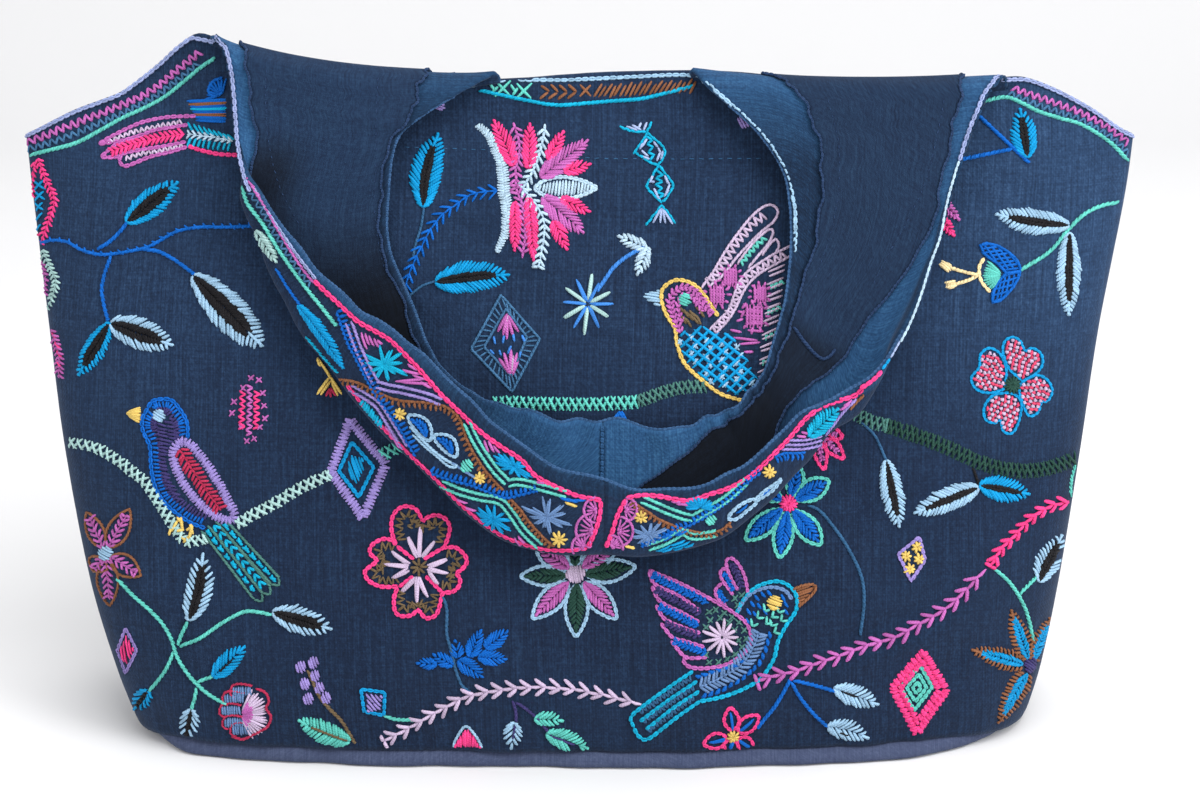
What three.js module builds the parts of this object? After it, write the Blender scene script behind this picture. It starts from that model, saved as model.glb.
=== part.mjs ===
// Embroidered cloth tote bag, standing on its base, with both handles flopped
// over the rim. Millimetres, +Z up, the front faces -Y, +X is the right side as
// the front is looked at. The origin is on the floor under the middle of the bag.
import * as THREE from 'three';

// ---------------------------------------------------------------- sizes
const CLOTH = 2.0;            // body and base cloth with its backing
const STRAP = 2.0;            // handle cloth
const LINING = 1.0;           // lining strip inside a handle
const GAP = 0.3;              // room between neighbouring pieces
const SEAM_HEIGHT = 8.0;      // base cloth turns up to this height
const BASE_INSET = 1.2;       // base edge stays this far inside the panel's foot
const BACK_DROP = 16.0;       // the back handle hangs this much lower
const BACK_STAND_OFF = 2.0;   // and stands this much further off its panel
const HANDLE_ROUND = 0.38;    // how broad the handle's trough is at its belly
const FOOT_LIFT = 2.0;        // a handle starts this much above the rim
const SEAM_SHARE = 0.012;     // half the room at the grip seam, in handle rows
const MIDDLE = { x: 0.15, y: 3.2 };   // middle of the whole outline, brought over the origin

// Horizontal sections of the body: half sizes, how square the left and right
// corners are, and where the middle of the section lies.
const SECTIONS = [
  { z: 0,   halfWidth: 203, halfDepth: 69, cornerLeft: 3.6, cornerRight: 2.9, midX: 1.0,  midY: 0 },
  { z: 8,   halfWidth: 206, halfDepth: 72, cornerLeft: 3.6, cornerRight: 2.9, midX: 1.0,  midY: 0 },
  { z: 30,  halfWidth: 212, halfDepth: 74, cornerLeft: 3.5, cornerRight: 2.9, midX: 0.0,  midY: 0 },
  { z: 70,  halfWidth: 220, halfDepth: 69, cornerLeft: 3.3, cornerRight: 2.9, midX: -2.0, midY: 0 },
  { z: 130, halfWidth: 228, halfDepth: 57, cornerLeft: 3.0, cornerRight: 2.8, midX: -3.0, midY: 1 },
  { z: 180, halfWidth: 233, halfDepth: 45, cornerLeft: 2.7, cornerRight: 2.6, midX: -2.5, midY: 3 },
  { z: 250, halfWidth: 241, halfDepth: 28, cornerLeft: 2.3, cornerRight: 2.3, midX: 0.0,  midY: 7 },
  { z: 300, halfWidth: 244, halfDepth: 16, cornerLeft: 2.0, cornerRight: 2.0, midX: 0.0,  midY: 10 },
  { z: 330, halfWidth: 245, halfDepth: 12, cornerLeft: 2.0, cornerRight: 2.0, midX: 0.0,  midY: 12 },
];

// Height of the rim from the left side seam to the right one.
const RIM = [
  { x: -243, front: 266, back: 266 },
  { x: -219, front: 278, back: 269 },
  { x: -198, front: 288, back: 275 },
  { x: -181, front: 299, back: 281 },
  { x: -162, front: 306, back: 284 },
  { x: -138, front: 301, back: 282 },
  { x: -108, front: 296, back: 280 },
  { x: -54,  front: 293, back: 278 },
  { x: 9,    front: 294, back: 277 },
  { x: 58,   front: 293, back: 278 },
  { x: 126,  front: 289, back: 279 },
  { x: 181,  front: 290, back: 280 },
  { x: 204,  front: 287, back: 275 },
  { x: 222,  front: 281, back: 271 },
  { x: 243,  front: 266, back: 266 },
];

// Soft dents in the front: how far the cloth is pushed in, and how far it spreads.
const DENTS = [
  { x: -173, z: 278, depth: 7, spreadX: 24, spreadZ: 24 },
  { x: -111, z: 150, depth: 3, spreadX: 60, spreadZ: 80 },
  { x: 159,  z: 190, depth: 3, spreadX: 60, spreadZ: 60 },
];

// Sections of the front handle, from the crest of the left roll, down the front,
// round the grip and up to the crest of the right roll. Each row gives the edge
// towards the middle of the loop, the belly of the trough and the outer edge.
const HANDLE = [
  { at: 'left_crest',  inner: [-55, -11, 303], belly: [-108, -9, 305],  outer: [-160, -5, 313] },
  { at: 'left_roll',   inner: [-58, -18, 301], belly: [-107, -17, 302], outer: [-156, -13, 309] },
  { at: 'left_1',      inner: [-71, -21, 289], belly: [-111, -20, 286], outer: [-151, -15, 290] },
  { at: 'left_2',      inner: [-78, -23, 271], belly: [-117, -22, 266], outer: [-146, -22, 270] },
  { at: 'left_3',      inner: [-82, -26, 250], belly: [-130, -25, 243], outer: [-135, -34, 251] },
  { at: 'left_4',      inner: [-82, -31, 226], belly: [-127, -33, 217], outer: [-118, -45, 226] },
  { at: 'left_5',      inner: [-72, -38, 202], belly: [-116, -42, 190], outer: [-98, -56, 206] },
  { at: 'left_6',      inner: [-63, -45, 181], belly: [-98, -50, 165],  outer: [-77, -63, 191] },
  { at: 'left_7',      inner: [-48, -50, 167], belly: [-75, -60, 139],  outer: [-53, -72, 170] },
  { at: 'left_8',      inner: [-22, -53, 158], belly: [-46, -69, 115],  outer: [-29, -78, 149] },
  { at: 'grip_seam',   inner: [10, -54, 154],  belly: [10, -74, 101],   outer: [11, -84, 130] },
  { at: 'right_8',     inner: [48, -55, 153],  belly: [57, -71, 108],   outer: [51, -82, 130] },
  { at: 'right_7',     inner: [67, -52, 161],  belly: [81, -65, 126],   outer: [75, -78, 141] },
  { at: 'right_6',     inner: [78, -49, 172],  belly: [97, -59, 139],   outer: [95, -70, 158] },
  { at: 'right_5',     inner: [84, -45, 188],  belly: [110, -51, 158],  outer: [116, -61, 168] },
  { at: 'right_4',     inner: [89, -40, 208],  belly: [115, -39, 191],  outer: [137, -49, 192] },
  { at: 'right_3',     inner: [91, -33, 234],  belly: [121, -32, 222],  outer: [151, -35, 229] },
  { at: 'right_2',     inner: [88, -28, 257],  belly: [123, -27, 249],  outer: [159, -27, 253] },
  { at: 'right_1',     inner: [79, -25, 276],  belly: [125, -22, 274],  outer: [167, -20, 277] },
  { at: 'right_roll',  inner: [62, -20, 293],  belly: [125, -18, 294],  outer: [177, -16, 292] },
  { at: 'right_crest', inner: [59, -12, 297],  belly: [125, -10, 298],  outer: [181, -7, 295] },
];
const GRIP_SEAM = HANDLE.findIndex((row) => row.at === 'grip_seam') + 1;

// Where each handle end grows out of the rim: its inner and outer edge.
const HANDLE_FOOT = { leftInner: -54, leftOuter: -162, rightInner: 58, rightOuter: 183 };

// Lining strips on the inside of the front handle: the grid rows of that half and
// the grid columns, from its inner edge, that they cover.
const LINING_STRIPS = [
  { name: 'front_lining_left',  half: 'left',  firstRow: 1, lastRow: 14, firstColumn: 1, lastColumn: 7 },
  { name: 'front_lining_right', half: 'right', firstRow: 9, lastRow: 21, firstColumn: 1, lastColumn: 8 },
];

// Grid counts.
const PANEL_STEPS = { across: 40, up: 13 };
const BACK_STEPS = { across: 34, up: 9 };
const HANDLE_STEPS = { perRow: 2, across: 9 };
const BACK_HANDLE_STEPS = { perRow: 1.4, across: 7 };
const BASE_STEPS = 60;

// ---------------------------------------------------------------- helpers
// Smooth curve through one column of a table, by the column named key.
function along(table, key, column, at) {
  const x = Math.min(Math.max(at, table[0][key]), table[table.length - 1][key]);
  let i = 0;
  while (i < table.length - 2 && x > table[i + 1][key]) i += 1;
  const slope = (k) => {
    const a = table[Math.max(k - 1, 0)], b = table[Math.min(k + 1, table.length - 1)];
    return (b[column] - a[column]) / (b[key] - a[key]);
  };
  const h = table[i + 1][key] - table[i][key], t = (x - table[i][key]) / h;
  return (2 * t ** 3 - 3 * t ** 2 + 1) * table[i][column] + (t ** 3 - 2 * t ** 2 + t) * h * slope(i)
    + (3 * t ** 2 - 2 * t ** 3) * table[i + 1][column] + (t ** 3 - t ** 2) * h * slope(i + 1);
}

const sectionAt = (z) => Object.fromEntries(
  Object.keys(SECTIONS[0]).map((column) => [column, column === 'z' ? z : along(SECTIONS, 'z', column, z)]));

// Depth of the dents at a place on the front, none at the side seams.
function dent(x, z) {
  const s = sectionAt(z), q = Math.min(Math.abs((x - s.midX) / s.halfWidth), 1);
  return (1 - q ** 6) * DENTS.reduce((sum, d) => sum
    + d.depth * Math.exp(-(((x - d.x) / d.spreadX) ** 2) - ((z - d.z) / d.spreadZ) ** 2), 0);
}

// A section's curve from the left seam to the right one, on the front (side -1)
// or the back (side 1), spaced evenly along its length, set in by inset.
function sectionCurve(z, side, count, inset) {
  const s = sectionAt(z), fine = [];
  const halfWidth = s.halfWidth - inset, halfDepth = s.halfDepth - inset;
  for (let i = 0; i <= 400; i += 1) {
    const angle = -Math.PI / 2 + (Math.PI * i) / 400;
    const power = 2 / (angle < 0 ? s.cornerLeft : s.cornerRight);
    const x = s.midX + halfWidth * Math.sign(Math.sin(angle)) * Math.abs(Math.sin(angle)) ** power;
    const y = s.midY + side * halfDepth * Math.abs(Math.cos(angle)) ** power;
    fine.push(new THREE.Vector2(x, y));
  }
  return evenly(fine, count);
}

// Points spaced evenly along a fine polyline.
function evenly(fine, count) {
  const run = [0];
  for (let i = 1; i < fine.length; i += 1) run.push(run[i - 1] + fine[i].distanceTo(fine[i - 1]));
  const out = [];
  for (let i = 0, k = 0; i <= count; i += 1) {
    const want = (run[run.length - 1] * i) / count;
    while (k < fine.length - 2 && run[k + 1] < want) k += 1;
    out.push(fine[k].clone().lerp(fine[k + 1], (want - run[k]) / (run[k + 1] - run[k])));
  }
  return out;
}

// A closed mesh from two grids of points of the same size, joined round the edge.
function thickSheet(outside, inside) {
  const rows = outside.length, cols = outside[0].length;
  const points = [...outside.flat(), ...inside.flat()], faces = [];
  const at = (skin, r, c) => skin * rows * cols + r * cols + c;
  const quad = (a, b, c, d) => faces.push([a, b, c], [a, c, d]);
  for (let r = 0; r < rows - 1; r += 1) {
    for (let c = 0; c < cols - 1; c += 1) {
      quad(at(0, r, c), at(0, r, c + 1), at(0, r + 1, c + 1), at(0, r + 1, c));
      quad(at(1, r, c), at(1, r + 1, c), at(1, r + 1, c + 1), at(1, r, c + 1));
    }
    quad(at(0, r, 0), at(0, r + 1, 0), at(1, r + 1, 0), at(1, r, 0));
    quad(at(0, r, cols - 1), at(1, r, cols - 1), at(1, r + 1, cols - 1), at(0, r + 1, cols - 1));
  }
  for (let c = 0; c < cols - 1; c += 1) {
    quad(at(0, 0, c), at(1, 0, c), at(1, 0, c + 1), at(0, 0, c + 1));
    quad(at(0, rows - 1, c), at(0, rows - 1, c + 1), at(1, rows - 1, c + 1), at(1, rows - 1, c));
  }
  return closed(points, faces);
}

// A geometry from points and triangles, with its faces turned outwards.
function closed(points, faces) {
  const volume = faces.reduce((sum, [a, b, c]) => sum
    + points[a].dot(new THREE.Vector3().crossVectors(points[b], points[c])), 0);
  const geometry = new THREE.BufferGeometry();
  geometry.setAttribute('position', new THREE.Float32BufferAttribute(points.flatMap((p) => [p.x, p.y, p.z]), 3));
  geometry.setIndex(faces.flatMap(([a, b, c]) => (volume < 0 ? [a, c, b] : [a, b, c])));
  geometry.computeVertexNormals();
  return geometry;
}

// Grids offset to both sides of a grid of points, along its own normals.
function skins(grid, from, to) {
  const rows = grid.length, cols = grid[0].length;
  const normal = (r, c) => {
    const a = new THREE.Vector3().subVectors(grid[Math.min(r + 1, rows - 1)][c], grid[Math.max(r - 1, 0)][c]);
    const b = new THREE.Vector3().subVectors(grid[r][Math.min(c + 1, cols - 1)], grid[r][Math.max(c - 1, 0)]);
    return a.cross(b).normalize();
  };
  const moved = (d) => grid.map((row, r) => row.map((p, c) => p.clone().addScaledVector(normal(r, c), d)));
  return [moved(from), moved(to)];
}

// ---------------------------------------------------------------- body panels
function panel(side, steps) {
  const column = side < 0 ? 'front' : 'back';
  const grid = (inset) => {
    const rows = [];
    for (let r = 0; r <= steps.up; r += 1) {
      const share = r / steps.up, row = [];
      for (let c = 0; c <= steps.across; c += 1) {
        // the height under this part of the rim is settled in a few passes,
        // because the rim is given by x and x depends on the height
        let z = 280, p = null;
        for (let pass = 0; pass < 6; pass += 1) {
          p = sectionCurve(z, side, steps.across, inset)[c];
          const top = along(RIM, 'x', column, p.x);
          z = SEAM_HEIGHT + GAP + share * (top - SEAM_HEIGHT - GAP);
        }
        const y = p.y + (side < 0 ? dent(p.x, z) : 0) + side * (GAP / 2 + 0.05);
        row.push(new THREE.Vector3(p.x, y, z));
      }
      rows.push(row);
    }
    return rows;
  };
  return thickSheet(grid(0), grid(CLOTH));
}

// ---------------------------------------------------------------- base
// The rings of the flat floor, from the middle of its underside to the middle of
// its top, and those of the turned-up edge that stands on it.
const FLOOR_RINGS = [
  { z: 0, inset: 8 }, { z: 0, inset: 2 }, { z: 1.0, inset: 0.6 }, { z: CLOTH, inset: 0.4 }, { z: CLOTH, inset: 10 },
];
const EDGE_RINGS = [
  { z: CLOTH + GAP, inset: 0.4 }, { z: 5, inset: 0.1 }, { z: SEAM_HEIGHT, inset: 0 }, { z: SEAM_HEIGHT, inset: CLOTH },
  { z: 5, inset: CLOTH + 0.1 }, { z: CLOTH + GAP, inset: CLOTH + 0.4 },
];

function rounds(rings, filled) {
  const half = BASE_STEPS / 2, points = [], faces = [], n = BASE_STEPS;
  rings.forEach(({ z, inset }) => {
    const [front, back] = [-1, 1].map((side) => sectionCurve(SEAM_HEIGHT, side, half, inset + BASE_INSET));
    const loop = [...front.slice(0, half), ...back.slice(1).reverse()];
    loop.forEach((p) => points.push(new THREE.Vector3(p.x, p.y, z)));
  });
  const last = rings.length - 1, mid = sectionAt(SEAM_HEIGHT);
  const centre = (z) => points.push(new THREE.Vector3(mid.midX, mid.midY, z)) - 1;
  const [under, over] = filled ? [centre(rings[0].z), centre(rings[last].z)] : [];
  for (let i = 0; i < n; i += 1) {
    const j = (i + 1) % n;
    if (filled) faces.push([under, j, i], [over, last * n + i, last * n + j]);
    for (let k = 0; k < (filled ? last : last + 1); k += 1) {
      const m = (k + 1) % (last + 1);
      faces.push([k * n + i, k * n + j, m * n + j], [k * n + i, m * n + j, m * n + i]);
    }
  }
  return closed(points, faces);
}

// ---------------------------------------------------------------- handles
// The wall's middle at a place on the rim, a little above it.
function footPoint(x, side) {
  const column = side < 0 ? 'front' : 'back';
  const z = along(RIM, 'x', column, x) + FOOT_LIFT, s = sectionAt(z);
  const q = Math.min(Math.abs((x - s.midX) / (s.halfWidth - CLOTH / 2)), 1);
  const power = x < s.midX ? s.cornerLeft : s.cornerRight;
  const y = s.midY + side * (s.halfDepth - CLOTH / 2) * (1 - q ** power) ** (1 / power);
  return new THREE.Vector3(x, y + (side < 0 ? dent(x, z) : 0), z);
}

// One section across the handle: a round trough through inner edge, belly and
// outer edge, with its points spaced evenly.
function trough({ inner, belly, outer }, count) {
  const a = new THREE.Vector3(...inner), b = new THREE.Vector3(...belly), c = new THREE.Vector3(...outer);
  const middle = b.clone().multiplyScalar(8).sub(a).sub(c).divideScalar(6);
  const across = new THREE.Vector3().subVectors(a, c).multiplyScalar(HANDLE_ROUND);
  const curve = new THREE.CubicBezierCurve3(a, middle.clone().add(across), middle.clone().sub(across), c);
  return evenly(curve.getPoints(200), count);
}

// All sections of a handle, foot to foot. The back one is the front one turned to
// the back panel, lower and a little further off.
function handleRows(side, across) {
  const behind = (p) => new THREE.Vector3(
    p.x, 2 * sectionAt(p.z - BACK_DROP).midY - p.y + BACK_STAND_OFF
      + (sectionAt(p.z - BACK_DROP).halfDepth - sectionAt(p.z).halfDepth), p.z - BACK_DROP);
  const foot = (inner, outer) => Array.from({ length: across + 1 },
    (_, c) => footPoint(inner + ((outer - inner) * c) / across, side));
  const middle = HANDLE.map((row) => trough(row, across).map((p) => (side < 0 ? p : behind(p))));
  return [foot(HANDLE_FOOT.leftInner, HANDLE_FOOT.leftOuter), ...middle,
    foot(HANDLE_FOOT.rightInner, HANDLE_FOOT.rightOuter)];
}

// Smooth surface over the sections: the row place u may lie between two rows.
function handlePoint(rows, knots, u, share) {
  const cols = rows[0].length - 1;
  const column = (r) => {
    const c = Math.min(share * cols, cols - 1e-9), i = Math.floor(c);
    return rows[r][i].clone().lerp(rows[r][i + 1], c - i);
  };
  const i = Math.min(Math.floor(u), rows.length - 2), t = u - i, h = knots[i + 1] - knots[i];
  const slope = (k) => {
    const a = Math.max(k - 1, 0), b = Math.min(k + 1, rows.length - 1);
    return column(b).sub(column(a)).divideScalar(knots[b] - knots[a]);
  };
  return column(i).multiplyScalar(2 * t ** 3 - 3 * t ** 2 + 1)
    .addScaledVector(slope(i), (t ** 3 - 2 * t ** 2 + t) * h)
    .addScaledVector(column(i + 1), 3 * t ** 2 - 2 * t ** 3)
    .addScaledVector(slope(i + 1), (t ** 3 - t ** 2) * h);
}

// Distances between sections, measured along the middle of the handle.
function knotsOf(rows) {
  const mid = Math.floor(rows[0].length / 2), knots = [0];
  for (let r = 1; r < rows.length; r += 1) {
    const step = ['0', mid, rows[0].length - 1].reduce((s, c) => s + rows[r][+c].distanceTo(rows[r - 1][+c]), 0) / 3;
    knots.push(knots[r - 1] + step);
  }
  return knots;
}

function handleGrid(side, half, steps) {
  const rows = handleRows(side, 18), knots = knotsOf(rows), last = rows.length - 1;
  const from = half === 'left' ? 0 : GRIP_SEAM + SEAM_SHARE, to = half === 'left' ? GRIP_SEAM - SEAM_SHARE : last;
  const count = Math.round((to - from) * steps.perRow), grid = [];
  for (let r = 0; r <= count; r += 1) {
    const u = from + ((to - from) * r) / count;
    grid.push(Array.from({ length: steps.across + 1 }, (_, c) => handlePoint(rows, knots, u, c / steps.across)));
  }
  return grid;
}

function handleHalf(side, half, steps) {
  return thickSheet(...skins(handleGrid(side, half, steps), -STRAP / 2, STRAP / 2));
}

function liningStrip(strip) {
  const near = STRAP / 2 + GAP;
  const cut = skins(handleGrid(-1, strip.half, HANDLE_STEPS), -near, -near - LINING)
    .map((skin) => skin.slice(strip.firstRow, strip.lastRow + 1)
      .map((row) => row.slice(strip.firstColumn, strip.lastColumn + 1)));
  return thickSheet(...cut);
}

// ---------------------------------------------------------------- assembly
const indigo = new THREE.MeshStandardMaterial({ color: 0x1f2b47, roughness: 0.92, metalness: 0 });
const liningBlue = new THREE.MeshStandardMaterial({ color: 0x1c2335, roughness: 0.94, metalness: 0 });
const slate = new THREE.MeshStandardMaterial({ color: 0x3a3f5c, roughness: 0.9, metalness: 0 });

const bag = new THREE.Group();
function add(name, geometry, material) {
  const mesh = new THREE.Mesh(geometry, material);
  mesh.name = name;
  bag.add(mesh);
}

add('base_panel', rounds(FLOOR_RINGS, true), slate);
add('base_edge', rounds(EDGE_RINGS, false), slate);
add('front_panel', panel(-1, PANEL_STEPS), indigo);
add('back_panel', panel(1, BACK_STEPS), indigo);
add('front_handle_left', handleHalf(-1, 'left', HANDLE_STEPS), indigo);
add('front_handle_right', handleHalf(-1, 'right', HANDLE_STEPS), indigo);
add('back_handle_left', handleHalf(1, 'left', BACK_HANDLE_STEPS), indigo);
add('back_handle_right', handleHalf(1, 'right', BACK_HANDLE_STEPS), indigo);
LINING_STRIPS.forEach((strip) => add(strip.name, liningStrip(strip), liningBlue));
bag.position.set(-MIDDLE.x, -MIDDLE.y, 0);

export default bag;
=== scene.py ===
import math

import bpy
import numpy as np
from mathutils import Matrix, Vector
from mathutils.bvhtree import BVHTree


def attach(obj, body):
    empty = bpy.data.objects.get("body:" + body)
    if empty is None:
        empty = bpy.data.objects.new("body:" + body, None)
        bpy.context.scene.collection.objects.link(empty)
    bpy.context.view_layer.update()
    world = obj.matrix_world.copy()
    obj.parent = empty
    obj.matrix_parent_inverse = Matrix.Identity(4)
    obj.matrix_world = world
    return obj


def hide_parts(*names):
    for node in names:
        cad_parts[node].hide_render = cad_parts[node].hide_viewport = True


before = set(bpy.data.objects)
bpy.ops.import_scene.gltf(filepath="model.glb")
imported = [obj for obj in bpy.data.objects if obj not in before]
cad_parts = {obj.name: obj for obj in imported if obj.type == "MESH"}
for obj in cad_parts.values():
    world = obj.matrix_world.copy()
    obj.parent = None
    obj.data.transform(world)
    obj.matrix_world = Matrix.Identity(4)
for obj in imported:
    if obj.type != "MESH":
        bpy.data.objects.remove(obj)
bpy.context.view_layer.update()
RNG = np.random.default_rng(20)
MM = 0.001

# ------------------------------------------------------------------ sizes, in millimetres
# The same sections as the solids have, in the same frame.
MIDDLE = np.array([0.15, 3.2, 0.0])
CLOTH = 2.0
STRAP = 2.0
SEAM_HEIGHT = 8.0
BASE_INSET = 1.2
CORNER_DROP = 4.0
BACK_DROP = 16.0
BACK_STAND_OFF = 2.0
HANDLE_ROUND = 0.38
FOOT_LIFT = 2.0

# z, half width, half depth, left corner, right corner, middle x, middle y
SECTIONS = np.array([
    (0, 203, 69, 3.6, 2.9, 1.0, 0), (8, 206, 72, 3.6, 2.9, 1.0, 0), (30, 212, 74, 3.5, 2.9, 0.0, 0),
    (70, 220, 69, 3.3, 2.9, -2.0, 0), (130, 228, 57, 3.0, 2.8, -3.0, 1), (180, 233, 45, 2.7, 2.6, -2.5, 3),
    (250, 241, 28, 2.3, 2.3, 0.0, 7), (300, 244, 16, 2.0, 2.0, 0.0, 10), (330, 245, 12, 2.0, 2.0, 0.0, 12)], float)
# x, front rim height, back rim height
RIM = np.array([
    (-243, 266, 266), (-230, 273, 268), (-219, 278.5, 269), (-207, 283, 273), (-198, 286.5, 275), (-190, 292, 278), (-181, 299, 281), (-172, 307, 283),
    (-163, 312, 284), (-150, 307, 283), (-138, 301, 282), (-108, 296, 280), (-54, 293, 278), (9, 296, 277), (58, 297, 278), (126, 291, 279),
    (181, 293, 280), (192, 293, 278), (206, 288, 275), (222, 279.5, 271), (235, 270.5, 268), (243, 266, 266)], float)
# x, z, depth, spread in x, spread in z
DENTS = np.array([(-173, 278, 7, 24, 24), (-111, 150, 3, 60, 80), (159, 190, 3, 60, 60)], float)
# inner edge, belly and outer edge of the front handle, from the left crest to the right one
HANDLE = np.array([
    (-55, -11, 303, -108, -9, 305, -160, -5, 313), (-58, -18, 301, -107, -17, 302, -156, -13, 309),
    (-71, -21, 289, -111, -20, 286, -151, -15, 290), (-78, -23, 271, -117, -22, 266, -146, -22, 270),
    (-82, -26, 250, -130, -25, 243, -135, -34, 251), (-82, -31, 226, -127, -33, 217, -118, -45, 226),
    (-72, -38, 202, -116, -42, 190, -98, -56, 206), (-63, -45, 181, -98, -50, 165, -77, -63, 191),
    (-48, -50, 167, -75, -60, 139, -53, -72, 170), (-22, -53, 158, -46, -69, 115, -29, -78, 149),
    (10, -54, 154, 10, -74, 101, 11, -84, 130), (48, -55, 153, 57, -71, 108, 51, -82, 130),
    (67, -52, 161, 81, -65, 126, 75, -78, 141), (78, -49, 172, 97, -59, 139, 95, -70, 158),
    (84, -45, 188, 110, -51, 158, 116, -61, 168), (89, -40, 208, 115, -39, 191, 137, -49, 192),
    (91, -33, 234, 121, -32, 222, 151, -35, 229), (88, -28, 257, 123, -27, 249, 159, -27, 253),
    (79, -25, 276, 125, -22, 274, 167, -20, 277), (62, -20, 293, 125, -18, 294, 177, -16, 292),
    (59, -12, 297, 125, -10, 298, 181, -7, 295)], float)
FOOT = {"left": (-54, -162), "right": (58, 183)}
GRIP_SEAM = 11.0
LAST_ROW = 22.0


# ------------------------------------------------------------------ curves and surfaces
def smooth(xs, ys, x):
    x = np.clip(np.asarray(x, float), xs[0], xs[-1])
    i = np.clip(np.searchsorted(xs, x) - 1, 0, len(xs) - 2)
    k = np.arange(len(xs))
    a, b = np.maximum(k - 1, 0), np.minimum(k + 1, len(xs) - 1)
    m = (ys[b] - ys[a]) / (xs[b] - xs[a])
    h = xs[i + 1] - xs[i]
    t = (x - xs[i]) / h
    return ((2 * t**3 - 3 * t**2 + 1) * ys[i] + (t**3 - 2 * t**2 + t) * h * m[i]
            + (3 * t**2 - 2 * t**3) * ys[i + 1] + (t**3 - t**2) * h * m[i + 1])


def section_at(z):
    return [smooth(SECTIONS[:, 0], SECTIONS[:, k], z) for k in range(1, 7)]


def rim_at(x, side):
    return smooth(RIM[:, 0], RIM[:, 1 if side < 0 else 2], x)


def dent(x, z):
    a, _, _, _, cx, _ = section_at(z)
    q = np.minimum(np.abs((x - cx) / a), 1)
    total = np.zeros_like(x)
    for dx, dz, d, sx, sz in DENTS:
        total += d * np.exp(-(((x - dx) / sx) ** 2) - ((z - dz) / sz) ** 2)
    return (1 - q**6) * total


# Small folds of the cloth: x, z, angle in degrees, half length, half width, depth
FOLDS = np.array([
    (120, 62, 24, 34, 4.5, -1.3), (138, 52, 30, 30, 4.0, 1.1), (150, 66, 18, 28, 4.0, -0.9), (168, 44, 40, 26, 4.0, -1.0),
    (-205, 60, -28, 30, 5.0, -1.2), (-190, 74, -20, 30, 5.0, 0.9), (-150, 40, 8, 40, 5.5, -0.8),
    (-120, 22, 4, 45, 4.5, -0.9), (30, 20, -3, 60, 4.5, -0.8), (-30, 240, 3, 70, 5.0, 0.8), (40, 262, -2, 60, 4.0, -0.7),
    (190, 240, 60, 26, 6.0, -1.6), (-196, 246, -55, 30, 6.0, -1.6), (200, 130, 75, 40, 8.0, -1.4), (-205, 150, -80, 46, 8.0, -1.4),
    (90, 95, 12, 50, 6.0, 0.8), (-60, 70, -10, 60, 7.0, 0.8), (0, 60, 85, 30, 9.0, -0.7), (170, 160, 20, 40, 6.0, 0.9)], float)
WAVES = [(RNG.uniform(40, 120), RNG.uniform(0, math.pi), RNG.uniform(0, 6.28), RNG.uniform(0.15, 0.4)) for _ in range(14)]
FINE = [(RNG.uniform(9, 24), RNG.uniform(0, math.pi), RNG.uniform(0, 6.28), RNG.uniform(0.02, 0.06)) for _ in range(22)]


def wrinkle(x, z):
    a, _, _, _, cx, _ = section_at(z)
    q = np.minimum(np.abs((x - cx) / a), 1)
    h = np.zeros_like(x)
    for fx, fz, ang, ln, w, d in FOLDS:
        c, s = math.cos(math.radians(ang)), math.sin(math.radians(ang))
        u, v = (x - fx) * c + (z - fz) * s, -(x - fx) * s + (z - fz) * c
        v = v + 3.0 * np.sin(u / 13.0 + fx)
        h -= d * np.exp(-((u / ln) ** 2) - (v / w) ** 2)
    for wl, ang, ph, amp in WAVES + FINE:
        h += amp * np.sin((x * math.cos(ang) + z * math.sin(ang)) * 2 * math.pi / wl + ph)
    # the cloth puckers a little along the base seam
    h += 0.5 * np.exp(-((z - 9) / 7.0) ** 2) * np.sin(x / 5.2 + 1.5 * np.sin(x / 23.0))
    return h * (1 - q**8)


LEVELS = np.arange(0.0, 331.0, 3.0)
SHARES = 361


def level_curves(side, inset):
    a, b, nl, nr, cx, cy = [v[:, None] for v in section_at(LEVELS)]
    ang = np.linspace(-math.pi / 2, math.pi / 2, 801)[None, :]
    power = 2 / np.where(ang < 0, nl, nr)
    x = cx + (a - inset) * np.sign(np.sin(ang)) * np.abs(np.sin(ang)) ** power
    y = cy + side * (b - inset) * np.abs(np.cos(ang)) ** power
    run = np.concatenate([np.zeros((len(LEVELS), 1)), np.cumsum(np.hypot(np.diff(x), np.diff(y)), axis=1)], axis=1)
    want = np.linspace(0, 1, SHARES)
    out = np.zeros((len(LEVELS), SHARES, 2))
    for i in range(len(LEVELS)):
        s = want * run[i, -1]
        out[i, :, 0], out[i, :, 1] = np.interp(s, run[i], x[i]), np.interp(s, run[i], y[i])
    return out, run[:, -1]


CURVES = {}


def body_point(side, share, z, inset=0.0, soft=True):
    """Points of the body wall: share 0 to 1 from the left side seam to the right one, at height z."""
    if (side, inset) not in CURVES:
        CURVES[side, inset] = level_curves(side, inset)
    c, _ = CURVES[side, inset]
    f = np.clip(z / 3.0, 0, len(LEVELS) - 1.001)
    g = np.clip(share * (SHARES - 1), 0, SHARES - 1.001)
    i, j = f.astype(int), g.astype(int)
    u, v = (f - i)[..., None], (g - j)[..., None]
    p = (c[i, j] * (1 - u) * (1 - v) + c[i + 1, j] * u * (1 - v) + c[i, j + 1] * (1 - u) * v + c[i + 1, j + 1] * u * v)
    x, y = p[..., 0], p[..., 1]
    if side < 0:
        y = y + dent(x, z) + (wrinkle(x, z) if soft else 0)
    elif soft:
        y = y + 0.8 * wrinkle(-x, z * 0.9 + 20)
    return np.stack([x, y + side * 0.2, z], -1)


def corner(x):
    """0 along the base, 1 at its two ends, where the body cloth hangs over the base cloth."""
    start = np.where(x < 0, 168.0, 150.0)
    t = np.clip((np.abs(x) - start) / (202.0 - start), 0, 1)
    return t * t * (3 - 2 * t)


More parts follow.
